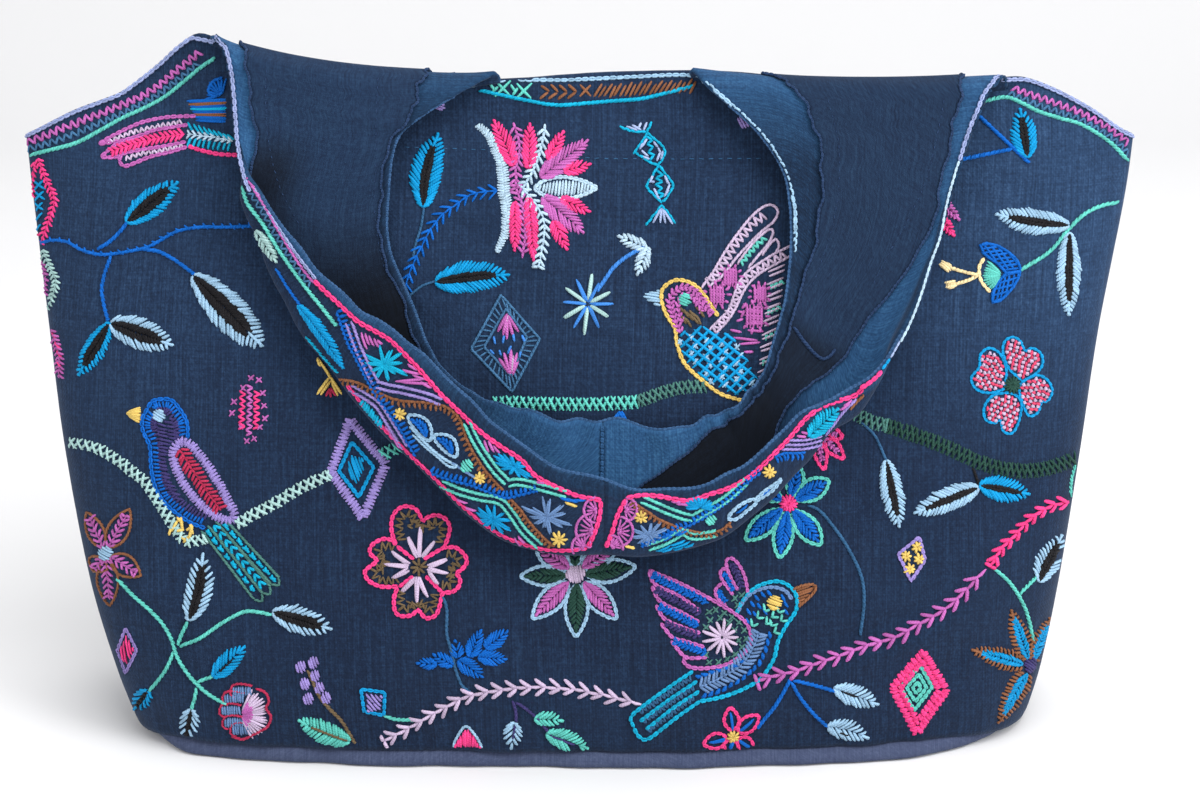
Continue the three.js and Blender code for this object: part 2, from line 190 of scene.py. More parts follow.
def body_grid(side, shares, lifts, inset=0.0):
    """Rows from the base seam (lift 0) to the rim (lift 1)."""
    s, v = np.meshgrid(shares, lifts)
    z = np.full_like(s, 280.0)
    for _ in range(8):
        x = body_point(side, s, z, inset, soft=False)[..., 0]
        seam = SEAM_HEIGHT + 0.3 - CORNER_DROP * corner(x)
        z = seam + v * (rim_at(x, side) - seam)
    return body_point(side, s, z, inset)


def trough_rows(count=73):
    t = np.linspace(0, 1, 241)[:, None]
    rows = []
    for r in HANDLE:
        a, b, c = r[:3], r[3:6], r[6:]
        m, d = (8 * b - a - c) / 6, HANDLE_ROUND * (a - c)
        q = (1 - t) ** 3 * a + 3 * t * (1 - t) ** 2 * (m + d) + 3 * t * t * (1 - t) * (m - d) + t**3 * c
        run = np.concatenate([[0], np.cumsum(np.linalg.norm(np.diff(q, axis=0), axis=1))])
        u = np.linspace(0, run[-1], count)
        rows.append(np.stack([np.interp(u, run, q[:, k]) for k in range(3)], 1))
    return np.array(rows)


def foot_row(which, side, count):
    x = np.linspace(*FOOT[which], count)
    z = rim_at(x, side) + FOOT_LIFT - 6.0
    a, b, nl, nr, cx, cy = section_at(z)
    q = np.minimum(np.abs((x - cx) / (a - CLOTH / 2)), 1)
    n = np.where(x < cx, nl, nr)
    y = cy + side * (b - CLOTH / 2) * (1 - q**n) ** (1 / n)
    return np.stack([x, y + (dent(x, z) if side < 0 else 0), z], 1)


def handle_rows(side, count=73):
    mid = trough_rows(count)
    if side > 0:
        z = mid[..., 2] - BACK_DROP
        lower, upper = section_at(z), section_at(mid[..., 2])
        mid = np.stack([mid[..., 0], 2 * lower[5] - mid[..., 1] + BACK_STAND_OFF + lower[1] - upper[1], z], -1)
    return np.concatenate([foot_row("left", side, count)[None], mid, foot_row("right", side, count)[None]])


ROWS = {side: handle_rows(side) for side in (-1, 1)}
KNOTS = {}
for side_, rows_ in ROWS.items():
    step = np.linalg.norm(np.diff(rows_[:, [0, 36, 72]], axis=0), axis=2).mean(1)
    KNOTS[side_] = np.concatenate([[0], np.cumsum(step)])


def handle_mid(side, u, share):
    """The middle of the handle cloth: u counts sections from foot to foot, share runs from the inner to the outer
    edge, and a share past 1 is held at the outer edge."""
    rows, knots = ROWS[side], KNOTS[side]
    n = rows.shape[1] - 1
    g = np.clip(share * n, 0, n - 1e-6)
    j = g.astype(int)
    f = (g - j)[..., None]

    def col(r):
        return rows[r, j] * (1 - f) + rows[r, j + 1] * f

    i = np.clip(u.astype(int), 0, len(rows) - 2)
    t = (u - i)[..., None]

    def slope(k):
        a, b = np.maximum(k - 1, 0), np.minimum(k + 1, len(rows) - 1)
        return (col(b) - col(a)) / (knots[b] - knots[a])[..., None]

    h = (knots[i + 1] - knots[i])[..., None]
    return ((2 * t**3 - 3 * t**2 + 1) * col(i) + (t**3 - 2 * t**2 + t) * h * slope(i)
            + (3 * t**2 - 2 * t**3) * col(i + 1) + (t**3 - t**2) * h * slope(i + 1))


# How the soft front handle lies off its plain sections: section, inner edge x and z, belly z, outer edge x and z
SLACK = np.array([
    (0, 20, 4.5, -4, 4, -2), (1, 18, -6, -4, 4, -1), (2, 8, -10, -3, 6, -2), (3, 5, -7, -1.5, 3.5, 0), (4, 0, 0, 0, 0.5, 0),
    (5, 0, 0, 0, -3, 0), (6, 0, 0, 0, -1, 0), (7, 0, 0, 1, 0, 0), (8, 0, 0, 2, 0, 0), (9, 0, 0, 4.9, 0, 0), (9.4, 0, 0, 5.3, 0, 0),
    (9.7, 0, 0, 5.9, 0, 0), (10, 0, 0, 3.5, 0, 0), (10.3, 0, 0, -1.7, 0, 0), (10.6, 0, 0, -0.9, 0, 0.3), (11, 0, 0, 4.0, 0, 3.4),
    (11.3, 0, 0, 3.7, 0, 1.6), (11.6, 0, 0, 3.8, 0, 0), (12, 0, 0, 3, 0, 0), (12.5, 0, 0, 2.5, 0, 0), (13, 0, 0, 1.9, 0, 0), (13.5, 0, 0, 4.9, 0, 0),
    (14, 0, 0, 5.7, 0, 0), (14.5, 0, 0, 7.8, 0.6, 0), (15, 0, 0, 5.6, 3.2, 0), (15.4, 0, 0, 4.2, 3.0, 0), (16, 0, 0, 2, -2.0, 0),
    (16.5, 0, 0, 1, -0.2, 0), (17, 0, 0, 0, 1.5, 0), (17.5, 0, 0, 0, 1.1, 0), (18, 0, 0, 0, 0.5, 0), (19, -3.5, 0, -1, 1, 0), (20, -5.5, -1, -3, -1.5, 0), (21, -10, 1.5, -5, 1, 0), (22, -10, 2, -4, 1, 0)], float)


def handle_surface(side, u, share):
    """As handle_mid, with the lip past the outer edge and with soft waves along both edges."""
    over = np.maximum(share - 1, 0)[..., None]
    p = handle_mid(side, u, np.minimum(share, 1.0))
    tip = handle_mid(side, u, np.ones_like(share))
    back = handle_mid(side, u, np.full_like(share, 0.93))
    out = tip - back
    out /= np.linalg.norm(out, axis=-1, keepdims=True)
    # the lip ends where the handle stands up towards the rim
    lip = 1 / (1 + np.exp(-(u - 4.7) / 0.16)) / (1 + np.exp((u - 16.7) / 0.16))
    lip = lip * (0.5 + 0.5 * step(u, 6.0, 8.4))
    p = p + out * over * 70.0 * lip[..., None]
    if side < 0:
        t = np.clip(share, 0, 1)
        a, b, c = (1 - t) ** 3, 4 * t * (1 - t), t**3
        ix, iz, mz, ox, oz = [smooth(SLACK[:, 0], SLACK[:, k], u) for k in range(1, 6)]
        p = p + np.stack([ix * a + ox * c, 0 * u, iz * a + mz * b + oz * c], -1)
    edge_in = np.exp(-((share / 0.16) ** 2))
    edge_out = np.exp(-(((share - 1.06) / 0.10) ** 2))
    grip = np.exp(-(((u - 11.3) / 2.6) ** 2))
    wave_in = 1.1 * np.sin(u * 4.4 + 0.7) + 0.7 * np.sin(u * 9.1 + 2.0) + 0.5 * np.sin(u * 15.7)
    wave_out = 0.8 * np.sin(u * 6.3) + 0.5 * np.sin(u * 13.3 + 1.0)
    p = p + np.stack([0 * u, side * (edge_in * wave_in * (0.35 + 1.0 * grip) + edge_out * wave_out * 0.8), 0 * u], -1)
    p[..., 2] += edge_in * grip * (1.2 * np.sin(u * 5.2) + 0.8 * np.sin(u * 11.3 + 0.5)) + edge_out * 0.6 * np.sin(u * 7.7)
    return p


# ------------------------------------------------------------------ meshes
def grid_normals(g):
    du, dv = np.gradient(g, axis=0), np.gradient(g, axis=1)
    n = np.cross(du, dv)
    return n / np.maximum(np.linalg.norm(n, axis=-1, keepdims=True), 1e-9)


def make_object(name, verts_mm, faces, materials, index=None, uv=None, smooth_=True):
    me = bpy.data.meshes.new(name)
    v = (np.asarray(verts_mm, float) - MIDDLE) * MM
    f = np.asarray(faces, np.int32)
    me.vertices.add(len(v))
    me.vertices.foreach_set("co", v.astype(np.float32).ravel())
    me.loops.add(f.size)
    me.loops.foreach_set("vertex_index", f.ravel())
    me.polygons.add(len(f))
    me.polygons.foreach_set("loop_start", (np.arange(len(f)) * f.shape[1]).astype(np.int32))
    me.polygons.foreach_set("loop_total", np.full(len(f), f.shape[1], np.int32))
    for m in materials:
        me.materials.append(m)
    if index is not None:
        me.polygons.foreach_set("material_index", np.asarray(index, np.int32))
    me.polygons.foreach_set("use_smooth", np.full(len(f), smooth_))
    if uv is not None:
        layer = me.uv_layers.new(name="UVMap")
        layer.data.foreach_set("uv", np.asarray(uv, np.float32)[f.ravel()].ravel())
    me.update(calc_edges=True)
    me.validate()
    o = bpy.data.objects.new(name, me)
    bpy.context.scene.collection.objects.link(o)
    return o


def sheet_mesh(outer, inner, uv, hem=(0.0, 0.0, 0.0, 0.0), flip=False):
    """A closed sheet from two grids, with its four edges rounded by a middle ring pushed out by hem
    (first row, last row, first column, last column)."""
    rows, cols = outer.shape[:2]
    n = rows * cols
    idx = np.arange(n).reshape(rows, cols)
    verts = [outer.reshape(-1, 3), inner.reshape(-1, 3)]
    uvs = [uv.reshape(-1, 2), uv.reshape(-1, 2)]
    q = np.stack([idx[:-1, :-1], idx[:-1, 1:], idx[1:, 1:], idx[1:, :-1]], -1).reshape(-1, 4)
    faces, tag = [q, (q + n)[:, ::-1]], [np.zeros(len(q)), np.ones(len(q))]
    ring = np.concatenate([idx[0, :-1], idx[:-1, -1], idx[-1, :0:-1], idx[:0:-1, 0]])
    side = np.concatenate([np.full(cols - 1, 0), np.full(rows - 1, 3), np.full(cols - 1, 1), np.full(rows - 1, 2)])
    o, i = outer.reshape(-1, 3)[ring], inner.reshape(-1, 3)[ring]
    mid = (o + i) / 2
    inward = np.empty_like(mid)
    fo = outer
    push = {0: fo[0] - fo[1], 1: fo[-1] - fo[-2], 2: fo[:, 0] - fo[:, 1], 3: fo[:, -1] - fo[:, -2]}
    inward[side == 0] = push[0][:-1]
    inward[side == 3] = push[3][:-1]
    inward[side == 1] = push[1][:0:-1]
    inward[side == 2] = push[2][:0:-1]
    inward /= np.maximum(np.linalg.norm(inward, axis=1, keepdims=True), 1e-9)
    amount = np.array([hem[k] for k in side])[:, None]
    mid = mid + inward * amount
    verts.append(mid)
    uvs.append(uv.reshape(-1, 2)[ring])
    k = 2 * n + np.arange(len(ring))
    nxt = np.roll(np.arange(len(ring)), -1)
    a = np.stack([ring[nxt], ring, k, k[nxt]], -1)
    b = np.stack([k[nxt], k, ring + n, (ring + n)[nxt]], -1)
    faces += [a, b]
    tag += [np.full(len(a), 2), np.full(len(b), 2)]
    f = np.concatenate(faces)
    if flip:
        f = f[:, ::-1]
    return np.concatenate(verts), f, np.concatenate(tag).astype(int), np.concatenate(uvs)


def arc_uv(g):
    """Flat coordinates of a grid in metres, measured along its rows and columns."""
    du = np.concatenate([np.zeros((1, g.shape[1])), np.cumsum(np.linalg.norm(np.diff(g, axis=0), axis=2), axis=0)])
    dv = np.concatenate([np.zeros((g.shape[0], 1)), np.cumsum(np.linalg.norm(np.diff(g, axis=1), axis=2), axis=1)], axis=1)
    dv = dv - dv[:, g.shape[1] // 2:g.shape[1] // 2 + 1]
    return np.stack([dv, du], -1) * MM


# ------------------------------------------------------------------ materials
def srgb(h):
    c = [int(h[i:i + 2], 16) / 255 for i in (1, 3, 5)]
    return [v / 12.92 if v <= 0.04045 else ((v + 0.055) / 1.055) ** 2.4 for v in c]


class Nodes:
    def __init__(self, name):
        self.mat = bpy.data.materials.new(name)
        self.mat.use_nodes = True
        self.t = self.mat.node_tree
        self.b = self.t.nodes["Principled BSDF"]

    def new(self, kind, **values):
        n = self.t.nodes.new(kind)
        for k, v in values.items():
            if hasattr(n, k):
                setattr(n, k, v)
            else:
                n.inputs[k].default_value = v
        return n

    def link(self, a, b):
        self.t.links.new(a, b)

    def math(self, op, a, b=None):
        n = self.new("ShaderNodeMath", operation=op)
        for i, v in enumerate((a, b)):
            if v is None:
                continue
            if isinstance(v, (int, float)):
                n.inputs[i].default_value = v
            else:
                self.link(v, n.inputs[i])
        return n.outputs[0]

    def stretched_noise(self, coord, sx, sy, detail=2.0, rough=0.5, seed=0.0):
        mp = self.new("ShaderNodeMapping")
        mp.inputs["Scale"].default_value = (sx, sy, 1.0)
        mp.inputs["Location"].default_value = (seed, seed * 1.7, seed * 0.3)
        self.link(coord, mp.inputs["Vector"])
        n = self.new("ShaderNodeTexNoise")
        n.inputs["Scale"].default_value = 1.0
        n.inputs["Detail"].default_value = detail
        n.inputs["Roughness"].default_value = rough
        self.link(mp.outputs[0], n.inputs["Vector"])
        return n.outputs["Fac"]

    def ramp(self, fac, stops):
        r = self.new("ShaderNodeValToRGB")
        while len(r.color_ramp.elements) < len(stops):
            r.color_ramp.elements.new(0.5)
        for e, (pos, col) in zip(r.color_ramp.elements, stops):
            e.position, e.color = pos, (*col, 1)
        self.link(fac, r.inputs[0])
        return r.outputs[0]

    def mix(self, fac, a, b, blend="MIX"):
        m = self.new("ShaderNodeMix", data_type="RGBA", blend_type=blend)
        for sock, v in ((m.inputs[0], fac), (m.inputs[6], a), (m.inputs[7], b)):
            if isinstance(v, (int, float)):
                sock.default_value = v
            elif isinstance(v, (list, tuple)):
                sock.default_value = (*v, 1)
            else:
                self.link(v, sock)
        return m.outputs[2]


def cloth_material(name, dark, mid, light, warp=1250.0, weft=1250.0, slub=1.0, fuzz=0.25, bump=0.22, rough=0.93, painted_lighting=None):
    """Hand-woven cotton: warp and weft threads of uneven colour and thickness. Where a second set of three colours
    is given, a lit copy of the cloth, it blends to them by the mesh attribute of that name: painted light and shade."""
    m = Nodes(name)
    uv = m.new("ShaderNodeUVMap", uv_map="UVMap").outputs[0]
    # uneven threads: noise drawn out along the warp and, weaker, along the weft, with single pale fibres
    a = m.stretched_noise(uv, warp, 26.0, 2.0, 0.6, 3.1)
    b = m.stretched_noise(uv, 70.0, weft, 2.0, 0.6, 9.4)
    speck = m.stretched_noise(uv, 820.0, 620.0, 2.0, 0.7, 12.0)
    cloudy = m.stretched_noise(uv, 16.0, 16.0, 3.0, 0.55, 5.0)
    both = m.math("ADD", m.math("MULTIPLY", a, 0.40), m.math("ADD", m.math("MULTIPLY", b, 0.20), m.math("MULTIPLY", speck, 0.40)))
    col = m.ramp(both, [(0.36, dark), (0.5, mid), (0.66, light)])
    # painted light and shade: blend from the cloth's darker colours to a lit copy of them
    if painted_lighting:
        lit_colour = m.ramp(both, [(0.36, painted_lighting[0]), (0.5, painted_lighting[1]), (0.66, painted_lighting[2])])
        col = m.mix(m.new("ShaderNodeAttribute", attribute_name="painted_lighting").outputs["Fac"], col, lit_colour)
    s1 = m.stretched_noise(uv, warp * 0.7, 20.0, 1.0, 0.5, 17.0)
    sl = m.math("GREATER_THAN", s1, 0.70)
    col = m.mix(m.math("MULTIPLY", sl, 0.22 * slub), col, [min(1, c * 1.8 + 0.004) for c in light])
    col = m.mix(m.math("MULTIPLY", m.math("SUBTRACT", cloudy, 0.4), 0.35), col, [c * 1.2 for c in light])
    m.link(col, m.b.inputs["Base Color"])
    m.b.inputs["Roughness"].default_value = rough
    m.b.inputs["Specular IOR Level"].default_value = 0.18
    m.b.inputs["Sheen Weight"].default_value = fuzz
    m.b.inputs["Sheen Roughness"].default_value = 0.45
    m.b.inputs["Sheen Tint"].default_value = (0.45, 0.55, 0.75, 1)
    # plain weave: warp and weft pass over and under each other
    mp = m.new("ShaderNodeMapping")
    mp.inputs["Scale"].default_value = (warp * math.pi * 0.8, weft * math.pi * 0.8, 1)
    m.link(uv, mp.inputs["Vector"])
    sep = m.new("ShaderNodeSeparateXYZ")
    m.link(mp.outputs[0], sep.inputs[0])
    over = m.math("MULTIPLY", m.math("SINE", sep.outputs[0]), m.math("SINE", sep.outputs[1]))
    height = m.math("ADD", m.math("MULTIPLY", over, 0.35), m.math("ADD", m.math("MULTIPLY", a, 1.3), m.math("MULTIPLY", b, 1.3)))
    bp = m.new("ShaderNodeBump")
    bp.inputs["Strength"].default_value = bump
    bp.inputs["Distance"].default_value = 0.0006
    m.link(height, bp.inputs["Height"])
    m.link(bp.outputs[0], m.b.inputs["Normal"])
    return m.mat


# Each cloth has two sets of three colours: the first is the cloth painted in shade, the second a lit copy of the same
# cloth; the per-point blend between them is painted light and shade. The lining's shaded set is near black, painted
# shade for the hollows of the handle.
INDIGO = cloth_material("indigo_cotton", srgb("#081427"), srgb("#0f1e35"), srgb("#1c314c"), slub=0.6, fuzz=0.14,
                        painted_lighting=(srgb("#15263e"), srgb("#1f3552"), srgb("#314b6c")))
WRONG = cloth_material("indigo_wrong_side", srgb("#071424"), srgb("#0c1d33"), srgb("#16304b"), slub=0.4, fuzz=0.14, bump=0.25,
                       painted_lighting=(srgb("#1a3a5c"), srgb("#244a71"), srgb("#356188")))
LINING = cloth_material("navy_lining", srgb("#03070f"), srgb("#060c17"), srgb("#0c1522"), warp=1700, weft=1700, slub=0.05, fuzz=0.06, bump=0.06,
                        painted_lighting=(srgb("#111f36"), srgb("#182b45"), srgb("#223954")))
BASE = cloth_material("slate_base_cotton", srgb("#323a54"), srgb("#3c455f"), srgb("#4a536d"), warp=1500, weft=1500, slub=0.2, fuzz=0.15)


def paint_light_shade(o, values):
    """Sets the painted light and shade of the cloth, one value for each point of the mesh: low is shaded, high is lit.
    """
    at = o.data.attributes.new("painted_lighting", "FLOAT", "POINT")
    at.data.foreach_set("value", np.asarray(values, np.float32).ravel())


def step(x, a, b):
    t = np.clip((x - a) / (b - a), 0, 1)
    return t * t * (3 - 2 * t)


# ------------------------------------------------------------------ camera, as the photograph was taken
ELEVATION, DISTANCE, LENS = math.radians(18.0), 1140.0, 79.0
TARGET = np.array([9.0, -40.0, 160.0])
F_PX = LENS / 36.0 * 1200
FWD = np.array([0, math.cos(ELEVATION), -math.sin(ELEVATION)])
UP = np.array([0, math.sin(ELEVATION), math.cos(ELEVATION)])
RIGHT = np.array([1.0, 0, 0])
EYE = TARGET - DISTANCE * FWD
cam_data = bpy.data.cameras.new("camera")
cam_data.sensor_fit, cam_data.sensor_width, cam_data.lens = "HORIZONTAL", 36.0, LENS
cam_data.clip_start, cam_data.clip_end = 0.01, 50
cam = bpy.data.objects.new("camera", cam_data)
bpy.context.scene.collection.objects.link(cam)
cam.matrix_world = Matrix((
    (RIGHT[0], UP[0], -FWD[0], (EYE[0] - MIDDLE[0]) * MM),
    (RIGHT[1], UP[1], -FWD[1], (EYE[1] - MIDDLE[1]) * MM),
    (RIGHT[2], UP[2], -FWD[2], (EYE[2] - MIDDLE[2]) * MM), (0, 0, 0, 1)))
bpy.context.scene.camera = cam

# ------------------------------------------------------------------ cloth pieces
pieces = []


def keep(o, node=None):
    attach(o, "root")
    if node:
        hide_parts(*([node] if isinstance(node, str) else node))
    pieces.append(o)
    return o


def grid_area(g):
    a = np.cross(g[1:, :-1] - g[:-1, :-1], g[:-1, 1:] - g[:-1, :-1])
    b = np.cross(g[1:, 1:] - g[:-1, 1:], g[1:, 1:] - g[1:, :-1])
    return float((np.linalg.norm(a, axis=2).sum() + np.linalg.norm(b, axis=2).sum()) / 2) * MM * MM


def make_panel(name, node, side, nu, nv):
    shares = np.linspace(0, 1, nu + 1)
    lifts = np.linspace(0, 1, nv + 1)
    out, inn = body_grid(side, shares, lifts), body_grid(side, shares, lifts, CLOTH)
    v, f, tag, uv = sheet_mesh(out, inn, arc_uv(out), hem=(0.2, 0.7, 0.0, 0.0), flip=side > 0)
    o = make_object(name, v, f, [INDIGO, LINING], np.where(tag == 1, 1, 0), uv)
    x, z = out[..., 0], out[..., 2]
    # painted light on the outside: the upper part, the upper right shoulder and the left edge are lightened where light
    # falls on them; the inside and the edge rings take fixed values
    w = 0.25 * step(z, 120, 200) + 0.75 * step(x, 100, 210) * step(z, 110, 230) + 0.22 * step(x, -120, -200)
    paint_light_shade(o, np.concatenate([w.ravel(), np.full(w.size, 0.8), np.full(len(v) - 2 * w.size, 0.3)]))
    area = grid_area(out)
    keep(o, node)
    return out, area


front_grid, front_area = make_panel("front_cloth", "front_panel", -1, 210, 116)
back_grid, back_area = make_panel("back_cloth", "back_panel", 1, 120, 66)


def make_base():
    """A flat base with its edge turned up to the seam: rings from the middle outwards, up, over and back inside."""
    count = 300
    half = count // 2
    share = np.concatenate([np.linspace(0, 1, half, endpoint=False), np.linspace(1, 0, half, endpoint=False)])
    side = np.concatenate([np.full(half, -1), np.full(half, 1)])

    def loop(z, inset):
        p = np.empty((count, 3))
        for s in (-1, 1):
            k = side == s
            p[k] = body_point(s, share[k], np.full(k.sum(), z), inset, soft=False)
        p[:, 1] -= side * 0.2
        return p

    x = loop(8.0, BASE_INSET)[:, 0]
    wave = 0.6 * np.sin(x / 17.0) + 0.4 * np.sin(x / 7.3 + 1.0) + 0.25 * np.sin(x / 3.9 + 2.0)
    wave = wave + 2.2 * np.exp(-(((x - 55) / 85.0) ** 2)) + 1.2 * np.exp(-(((x + 165) / 30.0) ** 2)) + 1.2 * np.exp(-(((x - 160) / 40.0) ** 2))
    out_of = np.stack([0 * x, side * 1.0, 0 * x], 1)
    edge = [loop(8.0, BASE_INSET + d) + out_of * (k * wave)[:, None]
            for d, k in ((4.0, 0.4), (0.6, 0.9), (-0.9, 1.0), (-1.4, 1.0), (-0.9, 0.8), (0.1, 0.4), (0.8, 0.0))]
    for ring, z in zip(edge, (0.0, 0.25, 1.2, 3.0, 5.2, 7.0, 8.0)):
        ring[:, 2] = z + (0.25 * np.sin(x / 11.0) if 0.5 < z < 7 else 0)
    inner = [loop(z, BASE_INSET + 2.0 + d) for z, d in ((8.0, 0.0), (5.0, 0.2), (3.0, 1.0), (2.1, 4.0))]
    for ring, z in zip(inner, (8.0, 5.0, 3.0, 2.1)):
        ring[:, 2] = z
    for ring, k in zip(edge + inner, (1.0, 1.0, 1.0, 0.85, 0.5, 0.15, 0.0, 0.0, 0.55, 0.85, 1.0)):
        ring[:, :2] -= (ring[:, :2] - (1.0, 0.0)) * (0.04 * k * corner(x))[:, None]
    mid = np.array([1.0, 0.0, 0.0])
    under = [mid + (edge[0] - mid) * [k, k, 0] for k in (0.02, 0.3, 0.6, 0.85)]
    over = [mid + (inner[-1] - mid) * [k, k, 0] + [0, 0, 2.1] for k in (0.85, 0.6, 0.3, 0.02)]
    rings = np.array(under + edge + inner + over)
    n = len(rings)
    idx = np.arange(n * count).reshape(n, count)
    nxt = np.roll(idx, -1, axis=1)
    faces = np.stack([idx[:-1], idx[1:], nxt[1:], nxt[:-1]], -1).reshape(-1, 4)
    close = np.stack([idx[-1], idx[0], nxt[0], nxt[-1]], -1)
    verts = rings.reshape(-1, 3)
    # the pin-hole in the middle is closed by two fans
    verts = np.concatenate([verts, [[1, 0, 0.0], [1, 0, 2.1]]])
    a, b = len(verts) - 2, len(verts) - 1
    fan_a = np.stack([np.full(count, a), idx[0], nxt[0], np.full(count, a)], -1)
    fan_b = np.stack([np.full(count, b), nxt[-1], idx[-1], np.full(count, b)], -1)
    faces = np.concatenate([faces, fan_a, fan_b])
    run = np.concatenate([np.zeros((1, count)), np.cumsum(np.linalg.norm(np.diff(rings, axis=0), axis=2), axis=0)])
    uv = np.stack([rings[..., 0], rings[..., 1] * 0 + side * run], -1).reshape(-1, 2) * MM
    uv = np.concatenate([uv, [[0, 0], [0, 0]]])
    return verts, faces, uv


def tri_object(name, verts, faces, materials, uv):
    """As make_object, for a mix of quads and triangles (a triangle repeats its first corner)."""
    me = bpy.data.meshes.new(name)
    v = (np.asarray(verts, float) - MIDDLE) * MM
    polys = [tuple(f[:3]) if f[0] == f[3] else tuple(f) for f in faces.tolist()]
    me.from_pydata([tuple(p) for p in v.tolist()], [], polys)
    for m in materials:
        me.materials.append(m)
    me.polygons.foreach_set("use_smooth", np.ones(len(polys), bool))
    layer = me.uv_layers.new(name="UVMap")
    at = np.empty(len(me.loops), np.int32)
    me.loops.foreach_get("vertex_index", at)
    layer.data.foreach_set("uv", np.asarray(uv, np.float32)[at].ravel())
    me.update()
    o = bpy.data.objects.new(name, me)
    bpy.context.scene.collection.objects.link(o)
    return o


base = tri_object("base_cloth", *make_base()[:2], [BASE], make_base()[2])
keep(base, ["base_panel", "base_edge"])


def make_strap(name, node, side, u0, u1, rows, cols):
    u, t = np.meshgrid(np.linspace(u0, u1, rows + 1), np.linspace(0, 1.07, cols + 1), indexing="ij")
    g = handle_surface(side, u, t)
    n = grid_normals(g) * (-side)
    # hems are a little thicker
    thick = STRAP / 2 * (1 + 0.35 * np.exp(-(((t - 1.05) / 0.05) ** 2)) + 0.2 * np.exp(-((t / 0.04) ** 2)))[..., None]
    out, inn = g + n * thick, g - n * thick
    v, f, tag, uv = sheet_mesh(out, inn, arc_uv(g)[..., ::-1], hem=(0.0, 0.0, 0.9, 1.0), flip=side < 0)
    # the raw lip shows the paler wrong side of the cloth
    lip = (np.arange(len(tag)) % cols >= int(cols / 1.07)) & (side < 0)
    o = make_object(name, v, f, [INDIGO, WRONG], np.where((tag == 0) & ~lip, 0, 1), uv)
    # painted light and shade on the handle's inside: the wrong side is lightened where light falls in the trough and
    # darker towards its outer edge, lightened in lit strips on the right part and at the left end, and kept dark at the
    # very edge
    trough = step(u, 8.6, 10.4) * step(u, 13.6, 12.4) * (1 - 0.55 * step(t, 0.35, 0.75))
    right = 0.75 * step(u, 18.0, 20.8) * step(t, 0.6, 0.2) + 0.78 * step(u, 13.2, 15.2) * step(t, 0.2, 0.4)
    left = np.maximum(0.35 * step(u, 4.0, 1.5), 0.95 * step(u, 5.4, 4.4) * step(t, 0.6, 0.8))
    w = np.maximum(np.maximum(trough, right), left) * (1 - 0.8 * step(t, 0.985, 1.01)) + 0.04
    # on the outside, a painted sheen highlight lightens the lip's edge away from the grip; the edge rings take a middle
    # value
    paint_light_shade(o, np.concatenate([(0.12 + 0.5 * step(t, 0.985, 1.01) * np.maximum(step(u, 9.4, 7.4), 0.6 * step(u, 13.4, 14.8))).ravel(), w.ravel(), np.full(len(v) - 2 * w.size, 0.5)]))
    keep(o, node)
    return g, n, out, inn


straps = {
    "fl": make_strap("front_strap_left", "front_handle_left", -1, 0.0, GRIP_SEAM - 0.0008, 170, 44),
    "fr": make_strap("front_strap_right", "front_handle_right", -1, GRIP_SEAM + 0.0008, LAST_ROW, 170, 44),
    "bl": make_strap("back_strap_left", "back_handle_left", 1, 0.0, GRIP_SEAM - 0.0008, 90, 28),
    "br": make_strap("back_strap_right", "back_handle_right", 1, GRIP_SEAM + 0.0008, LAST_ROW, 90, 28)}

# Where the dark lining lies on the inside of the front handle: section, share of its inner and outer edge
LINING_EDGES = {
    "left": np.array([(0.3, 0.19, 0.88), (1, 0.18, 0.88), (2, 0.15, 0.89), (3, 0.06, 0.88), (4, 0.03, 0.87), (5, 0.03, 0.89), (6, 0.03, 0.92),
                      (7, 0.03, 0.95), (8, 0.06, 0.975), (8.7, 0.14, 0.985), (9.2, 0.40, 0.985)], float),
    # past the lining's stitched end near section 15.4 the right piece runs on down into the hollow of the handle, a
    # dark sheet of painted shade standing for the shaded cloth there
    "right": np.array([(11.15, 0.44, 0.97), (11.35, 0.34, 0.97), (11.6, 0.24, 0.97), (11.8, 0.17, 0.97), (12, 0.12, 0.97), (12.4, 0.07, 0.97), (12.6, 0.06, 0.95), (13, 0.05, 0.66), (13.4, 0.05, 0.42), (13.8, 0.06, 0.34),
                       (14.2, 0.06, 0.34), (14.8, 0.07, 0.42), (15.4, 0.09, 0.55), (16, 0.10, 0.67), (16.4, 0.13, 0.74), (16.9, 0.18, 0.85), (17.4, 0.20, 0.92), (18, 0.23, 0.92), (19, 0.27, 0.90), (20, 0.28, 0.885),
                       (21, 0.21, 0.85), (21.7, 0.21, 0.85)], float)}


